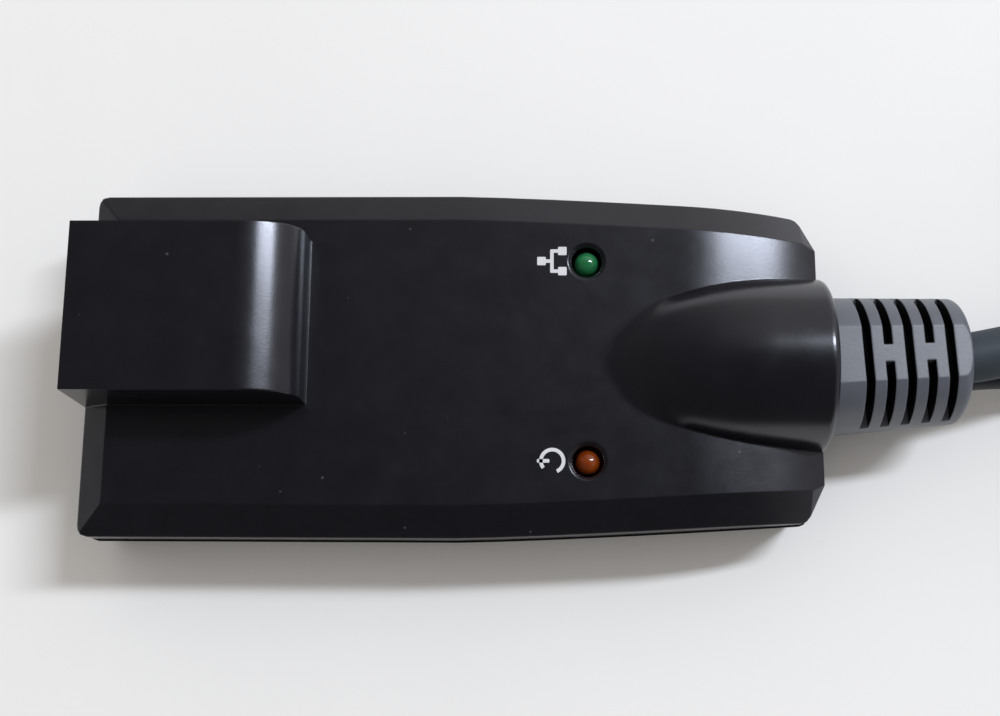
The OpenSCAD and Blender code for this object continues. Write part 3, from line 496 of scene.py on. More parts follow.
CONTACT_GOLD = Plated("contact_gold", (0.83, 0.62, 0.25), low=0.18, high=0.28, edge=0.05 * MM)
CAN_METAL = Plated("can_metal", (0.62, 0.63, 0.65), low=0.25, high=0.35)
PLUG_METAL = Plated("plug_metal", (0.70, 0.71, 0.73), low=0.18, high=0.3)
LENS_GREEN = Lens("lens_green", (0.03, 0.26, 0.09), (0.01, 0.12, 0.04))
LENS_AMBER = Lens("lens_amber", (0.30, 0.055, 0.004), (0.17, 0.025, 0.002))

NODE_FINISHES = {
    "top_shell": CASE_BLACK,
    "bottom_shell": BASE_BLACK,
    "case_screws": SCREW_STEEL,
    "circuit_board": Board(),
    "network_socket": INNER_BLACK,
    "socket_contacts": CONTACT_GOLD,
    "link_lamp": LENS_GREEN,
    "power_lamp": LENS_AMBER,
    "control_chip": INNER_BLACK,
    "memory_chip": INNER_BLACK,
    "crystal": CAN_METAL,
    "capacitors": CAN_METAL,
    "cord_header": HEADER_CREAM,
    "header_plug": HEADER_CREAM,
    "inner_wires": WIRE_RED,
    "strain_relief": RELIEF_GREY,
    "display_plug_body": PLUG_BLUE,
    "display_plug_shell": PLUG_METAL,
    "display_plug_insert": INSERT_BLUE,
    "display_plug_pins": CONTACT_GOLD,
    "keyboard_plug_body": PLUG_PURPLE,
    "keyboard_plug_shell": PLUG_METAL,
    "keyboard_plug_core": INNER_BLACK,
    "keyboard_plug_pins": CONTACT_GOLD,
    "mouse_plug_body": PLUG_GREEN,
    "mouse_plug_shell": PLUG_METAL,
    "mouse_plug_core": INNER_BLACK,
    "mouse_plug_pins": CONTACT_GOLD,
}

# The nodes whose curved faces are shaded as one
CURVED = [
    "top_shell", "bottom_shell", "strain_relief", "link_lamp", "power_lamp",
    "display_plug_body", "display_plug_shell", "keyboard_plug_body", "keyboard_plug_shell",
    "mouse_plug_body", "mouse_plug_shell",
]


class Wardrobe:
    """Makes each finish's material once and dresses pieces with it."""

    def __init__(self) -> None:
        """Starts with nothing made."""
        self.made: dict[str, Material] = {}

    def material(self, finish: object) -> Material:
        """Returns the material of a finish."""
        if finish.name not in self.made:
            self.made[finish.name] = finish.material()
        return self.made[finish.name]

    def dress(self, piece: Piece, finish: object) -> None:
        """Puts a finish on a piece, in place of any other."""
        piece.data.materials.clear()
        piece.data.materials.append(self.material(finish))


wardrobe = Wardrobe()


# Modelling


class Bench:
    """The operators that the modelled pieces share."""

    smooth_angle = 35.0

    @staticmethod
    def clear() -> None:
        """Leaves edit mode and deselects everything."""
        if bpy.context.object and bpy.context.object.mode != "OBJECT":
            bpy.ops.object.mode_set(mode="OBJECT")
        bpy.ops.object.select_all(action="DESELECT")

    @staticmethod
    def take(piece: Piece) -> None:
        """Selects a piece alone and makes it active."""
        Bench.clear()
        bpy.context.view_layer.objects.active = piece
        piece.select_set(True)

    @staticmethod
    def named(name: str) -> Piece:
        """Returns the new object, with its name."""
        piece = bpy.context.object
        piece.name = name
        piece.data.name = name
        return piece

    @staticmethod
    def block(name: str, size: Point, centre: Point) -> Piece:
        """Adds a block to start from.

        Args:
            name: The piece's name.
            size: Its size in metres.
            centre: Its centre in metres.

        Returns:
            The piece, with its size applied.
        """
        Bench.clear()
        bpy.ops.mesh.primitive_cube_add(size=1.0, location=centre)
        piece = Bench.named(name)
        piece.scale = size
        bpy.ops.object.transform_apply(location=True, rotation=True, scale=True)
        return piece

    @staticmethod
    def rod(name: str, radius: float, length: float, start: Point, sides: int) -> Piece:
        """Adds a rod along +X to start from.

        Args:
            name: The piece's name.
            radius: Its radius in metres.
            length: Its length in metres.
            start: The middle of its first end, in metres.
            sides: How many sides it has.

        Returns:
            The piece, with its place applied.
        """
        Bench.clear()
        middle = (start[0] + length / 2, start[1], start[2])
        bpy.ops.mesh.primitive_cylinder_add(
            vertices=sides, radius=radius, depth=length, location=middle,
            rotation=(0.0, math.pi / 2, 0.0),
        )
        piece = Bench.named(name)
        bpy.ops.object.transform_apply(location=True, rotation=True, scale=True)
        return piece

    @staticmethod
    def direction(piece: Piece, edge: Edge) -> Vector:
        """Returns the direction that an edge of a piece runs in."""
        a, b = (piece.data.vertices[i].co for i in edge.vertices)
        return (b - a).normalized()

    @staticmethod
    def pick(piece: Piece, mode: str, test: object) -> None:
        """Selects parts of a piece and enters edit mode.

        Args:
            piece: The piece.
            mode: VERT, EDGE or FACE.
            test: Says of a vertex, edge or polygon whether it is wanted.
        """
        Bench.take(piece)
        bpy.ops.object.mode_set(mode="EDIT")
        bpy.ops.mesh.select_mode(type=mode)
        bpy.ops.mesh.select_all(action="DESELECT")
        bpy.ops.object.mode_set(mode="OBJECT")
        mesh = piece.data
        parts = {"VERT": mesh.vertices, "EDGE": mesh.edges, "FACE": mesh.polygons}[mode]
        wanted = [part for part in parts if test(part)]
        for part in wanted:
            part.select = True
        bpy.ops.object.mode_set(mode="EDIT")

    @staticmethod
    def soften(piece: Piece, width: float, segments: int = 3, angle: float = 30.0) -> None:
        """Rounds a piece's sharp edges and shades it smooth.

        Args:
            piece: The piece.
            width: The rounding's width in metres.
            segments: How many steps it has.
            angle: The least angle of an edge that is rounded, in degrees.
        """
        Bench.take(piece)
        bevel = piece.modifiers.new("rounding", "BEVEL")
        bevel.width = width
        bevel.segments = segments
        bevel.limit_method = "ANGLE"
        bevel.angle_limit = math.radians(angle)
        bpy.ops.object.modifier_apply(modifier=bevel.name)
        bpy.ops.object.shade_smooth_by_angle(angle=math.radians(Bench.smooth_angle))

    @staticmethod
    def join(pieces: list[Piece], name: str) -> Piece:
        """Joins pieces into one and returns it."""
        Bench.clear()
        for piece in pieces:
            piece.select_set(True)
        bpy.context.view_layer.objects.active = pieces[0]
        if len(pieces) > 1:
            bpy.ops.object.join()
        return Bench.named(name)


# Cords


@dataclass
class Cord:
    """A free cord on its route, given in millimetres in the row's frame."""

    name: str
    node: str
    diameter: float
    length: float
    exit: Point
    far_end: FarEnd
    stiffness: str
    finish: Moulded
    route: list[Point]
    with_pieces: list[str] = field(default_factory=list)

    def build(self) -> Piece:
        """Returns the cord as a round curve through its route."""
        data = bpy.data.curves.new(self.name, "CURVE")
        data.dimensions = "3D"
        data.bevel_depth = self.diameter / 2 * MM
        data.bevel_resolution = 7
        data.resolution_u = 10
        data.use_fill_caps = True
        spline = data.splines.new("BEZIER")
        spline.bezier_points.add(len(self.route) - 1)
        for knot, place in zip(spline.bezier_points, self.route):
            knot.co = millimetres(*place)
            knot.handle_left_type = "AUTO"
            knot.handle_right_type = "AUTO"
        piece = bpy.data.objects.new(self.name, data)
        bpy.context.scene.collection.objects.link(piece)
        wardrobe.dress(piece, self.finish)
        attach(piece, BODY)
        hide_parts(self.node)
        return piece

    def declare(self, piece: Piece) -> None:
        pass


DISPLAY_CORD = Cord(
    "display_lead", "display_cord", diameter=6.0, length=265.0, exit=(50.6, 0.7, 11.2),
    far_end=FarEnd.PLUG, stiffness="medium", finish=CORD_GREY,
    route=[
        (49.5, 0.5, 11.2), (51.5, 0.8, 11.2), (56, 1.7, 11.1), (64, 3.6, 9.9), (74, 5.6, 6.8),
        (83, 6.8, 4.5), (90, 7, 3.9), (97, 7, 3.9), (103, 7, 4), (110, 7, 4), (118, 7, 3.4),
        (130, 7, 3.1), (144, 7, 3.1), (160, 7, 3.1), (176, 7, 3.1), (188, 7, 3.1),
        (194, 7.6, 3.1), (201, 10, 3.1), (207.4, 16, 3.1), (210, 25, 3.1), (207.4, 34, 3.1),
        (201, 40, 3.1), (192, 42.8, 3.1), (182, 42, 3.1), (172, 38.6, 3.1), (162, 33.6, 3.3),
        (152, 29.2, 4.6), (142, 26.8, 6.9), (134, 26.3, 7.8), (130, 26.3, 7.8),
    ],
    with_pieces=[
        "display_plug_body_skin", "display_plug_shell_skin", "display_plug_insert",
        "display_plug_pins", "left_thumbscrew", "right_thumbscrew", "tie",
    ],
)
PAIR_CORD = Cord(
    "pair_lead", "keyboard_mouse_cord", diameter=4.6, length=84.7, exit=(50.6, 0.1, 5.7),
    far_end=FarEnd.FITTING, stiffness="medium", finish=CORD_DARK,
    route=[
        (49.5, 0.0, 5.8), (51.5, 0.1, 5.7), (56, 0.4, 5.4), (64, 0.6, 4.2), (74, 0.4, 3.3),
        (83, 0.1, 3), (90, 0, 3), (97, 0, 3.2), (103, 0, 3.3), (110, 0, 3.3), (118, -0.2, 2.9),
        (126, -0.6, 2.6), (134, -0.8, 2.6),
    ],
    with_pieces=["splitter"],
)
KEYBOARD_CORD = Cord(
    "keyboard_lead", "keyboard_cord", diameter=3.5, length=149.0, exit=(151, 1.4, 2.4),
    far_end=FarEnd.PLUG, stiffness="limp", finish=CORD_DARK,
    route=[
        (150, 1.4, 2.4), (155, 1.5, 2.2), (164, 1.5, 1.8), (174, 1.5, 1.8), (184, 1.5, 1.8),
        (191.4, -0.5, 1.8), (196.8, -5.9, 1.8), (198.8, -13.3, 1.8), (196.8, -20.7, 1.8),
        (191.4, -26.1, 1.8), (184, -28.1, 1.8), (174, -27.6, 1.8), (164, -25.9, 1.8),
        (154, -23.7, 1.8), (144, -22.2, 1.9), (135, -21.7, 3), (126, -21.6, 5), (120, -21.6, 6),
        (116, -21.6, 6),
    ],
    with_pieces=[
        "keyboard_plug_body_skin", "keyboard_plug_shell_skin", "keyboard_plug_core",
        "keyboard_plug_pins", "keyboard_mark",
    ],
)
MOUSE_CORD = Cord(
    "mouse_lead", "mouse_cord", diameter=3.5, length=134.0, exit=(151, -3, 2.4),
    far_end=FarEnd.PLUG, stiffness="limp", finish=CORD_DARK,
    route=[
        (150, -3, 2.4), (155, -3.1, 2.2), (164, -3.1, 1.8), (174, -3.1, 1.8), (182, -3.1, 1.8),
        (187.3, -4.5, 1.8), (191.1, -8.4, 1.8), (192.5, -13.6, 1.8), (191.1, -18.9, 1.8),
        (187.3, -22.7, 1.8), (182, -24.1, 1.8), (174, -23.4, 1.8), (164, -20.6, 1.8),
        (154, -16.2, 1.8), (144, -12, 1.9), (135, -9.8, 3), (126, -9, 5), (120, -9, 6),
        (116, -9, 6),
    ],
    with_pieces=[
        "mouse_plug_body_skin", "mouse_plug_shell_skin", "mouse_plug_core", "mouse_plug_pins",
        "mouse_mark",
    ],
)


@dataclass
class Splitter:
    """The moulding where the second cord splits into its two tails."""

    start: Point = (133.0, -0.8, 2.6)
    length: float = 18.0
    width: float = 8.9
    height: float = 5.0
    neck: float = 5.1
    side_share: float = 0.44
    grooves: int = 4
    groove_start: float = 0.28
    groove_spread: float = 2.4
    groove_depth: float = 0.25

    def build(self) -> Piece:
        """Returns the moulding: a block drawn in at the neck, with round sides and grooves."""
        x, y, z = self.start
        piece = Bench.block(
            "splitter",
            millimetres(self.length, self.width, self.height),
            millimetres(x + self.length / 2, y, z),
        )
        Bench.pick(piece, "FACE", lambda face: face.normal.x < -ALONG)
        bpy.ops.transform.resize(
            value=(1.0, self.neck / self.width, self.neck / self.height),
            center_override=millimetres(x, y, z),
        )
        Bench.pick(piece, "EDGE", lambda edge: abs(Bench.direction(piece, edge).x) > ALONG)
        bpy.ops.mesh.bevel(offset=self.side_share * self.height * MM, segments=6, affect="EDGES")
        step = self.length / (self.groove_spread * self.grooves)
        starts = [x + self.groove_start * self.length + i * step for i in range(self.grooves)]
        for start in starts:
            for shift in (0.0, step / 2):
                Bench.pick(piece, "FACE", lambda face: True)
                place = millimetres(start + shift, y, z)
                bpy.ops.mesh.bisect(plane_co=place, plane_no=Axis.X.value)
        Bench.pick(piece, "FACE", lambda face: self.in_groove(face, starts, step / 2))
        bpy.ops.mesh.inset(thickness=0.0, depth=-self.groove_depth * MM)
        Bench.soften(piece, width=0.3 * MM)
        wardrobe.dress(piece, CORD_DARK)
        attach(piece, BODY)
        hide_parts("cord_splitter")
        return piece

    @staticmethod
    def in_groove(face: Face, starts: list[float], width: float) -> bool:
        """Returns whether a face is a groove's.

        Args:
            face: The face.
            starts: Where the grooves start along X, in millimetres.
            width: Their width in millimetres.
        """
        place = face.center.x / MM
        return any(s < place < s + width for s in starts) and abs(face.normal.x) < ALONG


@dataclass
class Tie:
    """The ribbed strap round the two cords, with its lock on top."""

    start: float = 104.0
    width: float = 5.0
    thickness: float = 0.7
    wide: Point = (7.0, 4.0, 3.2)
    narrow: Point = (0.0, 3.3, 2.5)
    lock: Point = (4.6, 5.2, 3.0)
    lock_gap: float = 0.2
    lock_taper: float = 0.86
    window_rim: float = 0.7
    window_depth: float = 1.2

    def build(self) -> Piece:
        """Returns the strap and its lock as one piece."""
        y, z, radius = self.wide
        low_y, low_z, low_radius = self.narrow
        share = low_radius / radius
        piece = Bench.rod(
            "tie_strap", radius * MM, self.width * MM, millimetres(self.start, y, z), sides=56
        )
        Bench.pick(piece, "VERT", lambda v: v.co.y < y * MM - TINY)
        bpy.ops.transform.resize(value=(1.0, share, share), center_override=millimetres(0, y, z))
        bpy.ops.transform.translate(value=millimetres(0, low_y - y, low_z - z))
        Bench.pick(piece, "FACE", lambda face: abs(face.normal.x) > ALONG)
        bpy.ops.mesh.delete(type="FACE")
        bpy.ops.object.mode_set(mode="OBJECT")
        wall = piece.modifiers.new("wall", "SOLIDIFY")
        wall.thickness = self.thickness * MM
        wall.offset = 1.0
        bpy.ops.object.modifier_apply(modifier=wall.name)
        Bench.soften(piece, width=0.15 * MM, segments=2)
        lock = self.lock_block(y, z + radius)
        tie = Bench.join([piece, lock], "tie")
        wardrobe.dress(tie, TIE_BLACK)
        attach(tie, BODY)
        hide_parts("cord_tie")
        return tie

    def lock_block(self, y: float, top: float) -> Piece:
        """Returns the lock: a block with a sunk window in its top and tapered ends.

        Args:
            y: The lock's middle across the cords, in millimetres.
            top: The height that it stands on, in millimetres.
        """
        length, across, height = self.lock
        centre = millimetres(self.start + self.width / 2, y, top + self.lock_gap + height / 2)
        sink = millimetres(0, 0, -self.window_depth)
        share = self.lock_taper
        lock = Bench.block("tie_lock", millimetres(length, across, height), centre)
        Bench.pick(lock, "FACE", lambda face: face.normal.z > ALONG)
        bpy.ops.transform.resize(value=(share, share, 1.0), center_override=centre)
        bpy.ops.mesh.inset(thickness=self.window_rim * MM)
        bpy.ops.mesh.extrude_region_move(TRANSFORM_OT_translate={"value": sink})
        Bench.soften(lock, width=0.25 * MM)
        return lock


# Smooth forms of the case


@dataclass(frozen=True)
class CaseSizes:
    """The case's own sizes, in millimetres from its socket end, its middle and the floor."""

    start: float = -52.5
    half_width: float = 20.5
    length: float = 86.5
    top: float = 13.7
    top_margin: float = 0.01
    bevel_width: float = 3.6
    bevel_height: float = 2.3
    end_bevel: float = 3.3
    corner: float = 1.2
    taper_start: float = 44.0
    taper: float = 2.25
    taper_power: float = 1.3
    roll_start: float = 70.5
    roll_radius: float = 36.0
    ear_cut_start: float = 82.2
    hood_axis: tuple[float, float] = (21.25, 17.35)
    hood_radius: float = 5.15
    hood_turn: float = 19.45
    hood_ease: float = 8.2
    hood_settle: tuple[float, float] = (25.1, 26.3)
    axis: float = 9.2
    boss_radius: float = 10.4
    boss_middle: float = 80.0
    boss_end: float = 87.0
    boss_round: float = 1.0
    nose_start: float = 57.0
    nose_length: float = 21.0
    nose_foot: float = 1.0
    fade_height: float = 2.6
    fade_start: float = 63.0
    fade_length: float = 8.0
    fade_power: float = 1.5
    relief_length: float = 18.0
    relief_radii: tuple[float, float] = (8.2, 7.45)
    relief_round: float = 3.0
    relief_lean: float = 2.6
    relief_knee: float = 13.8
    relief_squeeze: float = 0.55
    slot_first: float = 3.6
    slot_pitch: float = 2.37
    slot_width: float = 1.0
    slots: int = 5
    slot_margin: float = 0.05
    core_radius: float = 5.45
    core_margin: float = 0.15

    def side(self, x: float) -> float:
        """Returns the case's half width at x."""
        share = max(x - self.taper_start, 0.0) / (self.length - self.taper_start)
        return self.half_width - self.taper * share ** self.taper_power

    def crown(self, x: float) -> float:
        """Returns the top face's height at x."""
        run = max(x - self.roll_start, 0.0)
        return self.top - self.roll_radius + math.sqrt(self.roll_radius ** 2 - run ** 2)

    def turned(self, x: float) -> float:
        """Returns the radius of the boss and its nose at x."""
        back = self.boss_middle - x
        if back > 0.0:
            rise = self.top - self.axis
            tip = self.nose_length * math.sqrt(1 - (rise / self.boss_radius) ** 2)
            if back > tip - self.nose_foot:
                return rise + self.foot(tip, back, rise)
            return self.boss_radius * math.sqrt(1 - (back / self.nose_length) ** 2)
        past = x - (self.boss_end - self.boss_round)
        if past > 0.0:
            drop = self.boss_round - math.sqrt(max(self.boss_round ** 2 - past ** 2, 0.0))
            return self.boss_radius - drop
        return self.boss_radius

    def foot(self, tip: float, back: float, rise: float) -> float:
        """Returns the nose's foot's height over the top face.

        Args:
            tip: How far the nose's plain curve would reach.
            back: The distance from the boss's middle.
            rise: The top face's height over the boss's axis.
        """
        run = tip - self.nose_foot
        radius = self.boss_radius * math.sqrt(1 - (run / self.nose_length) ** 2)
        slope = (self.boss_radius / self.nose_length) ** 2 * run / radius
        knee = run + (radius - rise) / slope
        a, b, c = tip + self.nose_foot, knee, run
        square, linear = a - 2 * b + c, 2 * (b - a)
        root = max(linear ** 2 - 4 * square * (a - back), 0.0)
        t = 2 * (a - back) / (-linear + math.sqrt(root))
        return max(t, 0.0) ** 2 * (radius - rise)


CASE = CaseSizes()


class Form:
    """A smooth surface: a height that is zero on it and grows outwards."""

    reach = 0.07
    step = 0.02

    def height(self, x: float, y: float, z: float) -> float:
        """Returns the height over the surface at a place in the case's millimetres."""
        raise NotImplementedError

    def covers(self, x: float, y: float, z: float) -> bool:
        """Returns whether the surface lies there."""
        return abs(self.height(x, y, z)) < self.reach

    def normal(self, x: float, y: float, z: float) -> Vector:
        """Returns the outward normal there."""
        d = self.step
        slope = Vector((
            self.height(x + d, y, z) - self.height(x - d, y, z),
            self.height(x, y + d, z) - self.height(x, y - d, z),
            self.height(x, y, z + d) - self.height(x, y, z - d),
        ))
        return slope.normalized()

    def shading(self, x: float, y: float, z: float) -> Vector:
        """Returns the normal that the surface is shaded with there."""
        return self.normal(x, y, z)


class Crown(Form):
    """The top face, which rolls down over the ears."""

    def height(self, x: float, y: float, z: float) -> float:
        """Returns the height over the top face."""
        return z - CASE.crown(x)


class Bevels(Form):
    """The bevels along both sides."""

    def height(self, x: float, y: float, z: float) -> float:
        """Returns the height over the bevel on that side."""
        slope = CASE.bevel_height / CASE.bevel_width
        return z - CASE.crown(x) + CASE.bevel_height - (CASE.side(x) - abs(y)) * slope

    def covers(self, x: float, y: float, z: float) -> bool:
        """Returns whether a bevel lies there, clear of the end's."""
        return x > CASE.end_bevel and super().covers(x, y, z)


class Sides(Form):
    """The upright sides."""

    def height(self, x: float, y: float, z: float) -> float:
        """Returns the distance out from the side."""
        return abs(y) - CASE.side(x)

    def covers(self, x: float, y: float, z: float) -> bool:
        """Returns whether a side lies there, clear of the corners."""
        return CASE.corner < x < CASE.ear_cut_start and super().covers(x, y, z)


class HoodRound(Form):
    """The rounded end of the hood, with the strip of its top just before it."""

    def height(self, x: float, y: float, z: float) -> float:
        """Returns the distance out from the rounding, or over the top before it."""
        past = max(x - CASE.hood_axis[0], 0.0)
        return math.hypot(past, z - CASE.hood_axis[1]) - CASE.hood_radius

    def covers(self, x: float, y: float, z: float) -> bool:
        """Returns whether the rounding or its strip lies there."""
        return x > CASE.hood_turn and z > CASE.hood_axis[1] and super().covers(x, y, z)

    def shading(self, x: float, y: float, z: float) -> Vector:
        """Returns the normal, which starts to turn in the strip and settles further down."""
        true = math.atan2(max(x - CASE.hood_axis[0], 0.0), z - CASE.hood_axis[1])
        eased = math.asin(min(max((x - CASE.hood_turn) / CASE.hood_ease, 0.0), 1.0))
        first, last = CASE.hood_settle
        share = min(max((x - first) / (last - first), 0.0), 1.0)
        angle = eased + (true - eased) * share
        return Vector((math.sin(angle), 0.0, math.cos(angle)))


class Turned(Form):
    """The boss round the strain relief, and its nose."""

    def height(self, x: float, y: float, z: float) -> float:
        """Returns the distance out from the turned surface."""
        return math.hypot(y, z - CASE.axis) - CASE.turned(x)

    def covers(self, x: float, y: float, z: float) -> bool:
        """Returns whether the turned surface lies there."""
        return CASE.nose_start < x < CASE.boss_end and super().covers(x, y, z)

    def shading(self, x: float, y: float, z: float) -> Vector:
        """Returns the normal, which turns upwards where the nose fades into the top face."""
        rise = min(max((z - CASE.crown(x)) / CASE.fade_height, 0.0), 1.0)
        ahead = min(max((x - CASE.fade_start) / CASE.fade_length, 0.0), 1.0)
        share = (1 - rise) ** CASE.fade_power * (1 - ahead)
        return self.normal(x, y, z).lerp(Vector(Axis.Z.value), share).normalized()


class ReliefSide(Form):
    """The strain relief's round sides and tip, about its leaning axis."""

    end_margin = 0.1

    def height(self, x: float, y: float, z: float) -> float:
        """Returns the distance out from the sides."""
        along, out = self.turned_place(x, y, z)
        return out - self.radius(along)

    @staticmethod
    def turned_place(x: float, y: float, z: float) -> tuple[float, float]:
        """Returns how far along the relief's axis a place is, and how far from it."""
        lean = math.radians(CASE.relief_lean)
        past = x - CASE.boss_end
        along = past * math.cos(lean) + y * math.sin(lean)
        across = y * math.cos(lean) - past * math.sin(lean)
        return along, math.hypot(across, z - CASE.axis)

    def radius(self, along: float) -> float:
        """Returns the radius at a distance from the boss."""
        wide, thin = CASE.relief_radii
        if along > CASE.relief_knee:
            along = CASE.relief_knee + (along - CASE.relief_knee) / CASE.relief_squeeze
        straight = CASE.relief_length - CASE.relief_round
        if along < straight:
            return wide + (thin - wide) * along / straight
        left = max(CASE.relief_round ** 2 - (along - straight) ** 2, 0.0)
        return thin - CASE.relief_round + math.sqrt(left)

    def covers(self, x: float, y: float, z: float) -> bool:
        """Returns whether the sides lie there."""
        end = CASE.boss_end + CASE.relief_length
        return CASE.boss_end < x < end - self.end_margin and super().covers(x, y, z)


@dataclass(frozen=True)
class Skin:
    """A merged copy of a solid, whose curved faces are shaded as one."""

    node: str
    finish: Moulded
    forms: tuple = ()
    angle: float = 24.0
    match: float = 0.985
    weld: float = 0.0005
    evenness: int = 80

    def build(self) -> Piece:
        """Returns the copy, which stands for its solid."""
        source = node(self.node)
        piece = bpy.data.objects.new(self.node + "_skin", source.data.copy())
        bpy.context.scene.collection.objects.link(piece)
        piece.data.name = piece.name
        Bench.pick(piece, "VERT", lambda vertex: True)
        bpy.ops.mesh.remove_doubles(threshold=self.weld * MM)
        bpy.ops.mesh.dissolve_degenerate(threshold=self.weld * MM)
        bpy.ops.object.mode_set(mode="OBJECT")
        self.shape(piece)
        if self.forms:
            bpy.ops.object.shade_smooth()
            self.follow(piece)
        else:
            bpy.ops.object.shade_smooth_by_angle(angle=math.radians(self.angle))
            even = piece.modifiers.new("even", "WEIGHTED_NORMAL")
            even.keep_sharp = True
            even.weight = self.evenness
            bpy.ops.object.modifier_apply(modifier=even.name)
        self.dress(piece)
        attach(piece, BODY)
        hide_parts(self.node)
        return piece

    def shape(self, piece: Piece) -> None:
        """Changes the copy's shape; a plain copy keeps its own."""

    def dress(self, piece: Piece) -> None:
        """Dresses the copy."""
        wardrobe.dress(piece, self.finish)

    def follow(self, piece: Piece) -> None:
        """Gives each face the normals of the smooth form that it lies on, or else its own."""
        mesh = piece.data
        normals = [Vector((0.0, 0.0, 1.0))] * len(mesh.loops)
        for face in mesh.polygons:
            form = next((form for form in self.forms if self.lies_on(face, form)), None)
            for i in face.loop_indices:
                corner = self.case_place(mesh.vertices[mesh.loops[i].vertex_index].co)
                normals[i] = form.shading(*corner) if form else face.normal.copy()
        mesh.normals_split_custom_set(normals)

    def lies_on(self, face: Face, form: Form) -> bool:
        """Returns whether a face lies on a form and along it."""
        at = self.case_place(face.center)
        return form.covers(*at) and form.normal(*at).dot(face.normal) > self.match

    @staticmethod
    def case_place(place: Vector) -> tuple[float, float, float]:
        """Returns a place in the case's millimetres."""
        return (place.x / MM - CASE.start, place.y / MM, place.z / MM)


class HoodSkin(Skin):
    """The upper shell, with a strip on the hood's top that turns softly into its rounding."""

    def shape(self, piece: Piece) -> None:
        """Parts the strip from the rest of the hood's top."""
        top = (CASE.hood_axis[1] + CASE.hood_radius) * MM
        Bench.pick(
            piece, "FACE",
            lambda face: face.normal.z > ALONG and abs(face.center.z - top) < CASE.top_margin * MM,
        )
        bpy.ops.mesh.bisect(
            plane_co=((CASE.start + CASE.hood_turn) * MM, 0.0, top), plane_no=Axis.X.value
        )
        bpy.ops.object.mode_set(mode="OBJECT")


class ReliefSkin(Skin):
    """The strain relief, with a flatter tip and painted shade in its slots."""

    def shape(self, piece: Piece) -> None:
        """Draws the tip in towards the last slot."""
        knee = (CASE.start + CASE.boss_end + CASE.relief_knee) * MM
        Bench.pick(piece, "VERT", lambda vertex: vertex.co.x > knee)
        bpy.ops.transform.resize(
            value=(CASE.relief_squeeze, 1.0, 1.0), center_override=(knee, 0.0, 0.0)
        )
        bpy.ops.object.mode_set(mode="OBJECT")

    def dress(self, piece: Piece) -> None:
        """Dresses the relief in grey and the faces in its slots in a near-black painted shade."""
        super().dress(piece)
        # Paints shade into the slots: their walls and floors take the near-black painted-shade
        # material
        piece.data.materials.append(wardrobe.material(SLOT_PAINTED_SHADE))
        for face in piece.data.polygons:
            face.material_index = int(self.in_slot(face))

    def in_slot(self, face: Face) -> bool:
        """Returns whether a face is a slot's wall or floor."""
        along, out = ReliefSide.turned_place(*self.case_place(face.center))
        middles = [CASE.slot_first + i * CASE.slot_pitch for i in range(CASE.slots)]
        half = CASE.slot_width / 2 + CASE.slot_margin
        near = any(abs(along - middle) < half for middle in middles)
        floor = abs(out - CASE.core_radius) < CASE.core_margin
        return near and (floor or abs(face.normal.x) > ALONG)


# Printed marks


@dataclass
class Mark:
    """A flat printed mark on the case's top face, in millimetres in the row's frame."""

    centre: Point
    size: float = 3.4
    line: float = 0.42
    ink: float = 0.03
    corner: float = 0.12
    stub: float = 0.001
    steps: int = 40

    def plate(
        self, name: str, x: float, y: float, wide: float, high: float, share: float = 1.0
    ) -> Piece:
        """Returns a small rectangle of ink with rounded corners.

        Args:
            name: The piece's name.
            x: Its middle's distance from the mark's along X.
            y: Its middle's distance from the mark's along Y.
            wide: Its size along X.
            high: Its size along Y.
            share: Its thickness, as a share of the ink's.
        """
        cx, cy, cz = self.centre
        piece = Bench.block(
            name, millimetres(wide, high, self.ink * share), millimetres(cx + x, cy + y, cz)
        )
        Bench.pick(piece, "EDGE", lambda edge: abs(Bench.direction(piece, edge).z) > ALONG)
        bpy.ops.mesh.bevel(offset=self.corner * MM, segments=3, affect="EDGES")
        bpy.ops.object.mode_set(mode="OBJECT")
        return piece

    def arc(self, name: str, radius: float, start: float, sweep: float) -> Piece:
        """Returns an arc of ink, spun from a short stroke.

        Args:
            name: The piece's name.
            radius: The arc's middle radius.
            start: The angle it starts at, in degrees from +X.
            sweep: The angle it runs over, in degrees.
        """
        cx, cy, cz = self.centre
        piece = Bench.block(
            name, millimetres(self.line, self.stub, self.ink), millimetres(cx + radius, cy, cz)
        )
        Bench.pick(piece, "FACE", lambda face: face.normal.y > ALONG)
        bpy.ops.mesh.select_all(action="INVERT")
        bpy.ops.mesh.delete(type="ONLY_FACE")
        Bench.pick(piece, "FACE", lambda face: True)
        bpy.ops.mesh.select_mode(type="VERT")
        bpy.ops.mesh.select_all(action="SELECT")
        bpy.ops.mesh.remove_doubles(threshold=10 * self.stub * MM)
        bpy.ops.transform.rotate(
            value=-math.radians(start), orient_axis="Z", center_override=millimetres(cx, cy, cz)
        )
        bpy.ops.mesh.spin(
            steps=self.steps, angle=math.radians(sweep), center=millimetres(cx, cy, cz),
            axis=Axis.Z.value, dupli=False,
        )
        bpy.ops.mesh.select_all(action="SELECT")
        bpy.ops.mesh.normals_make_consistent(inside=False)
        bpy.ops.object.mode_set(mode="OBJECT")
        return piece

    def place(self, parts: list[Piece], name: str) -> Piece:
        """Joins the mark's parts, inks them and puts them on the case."""
        mark = Bench.join(parts, name)
        wardrobe.dress(mark, PRINT_WHITE)
        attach(mark, BODY)
        return mark


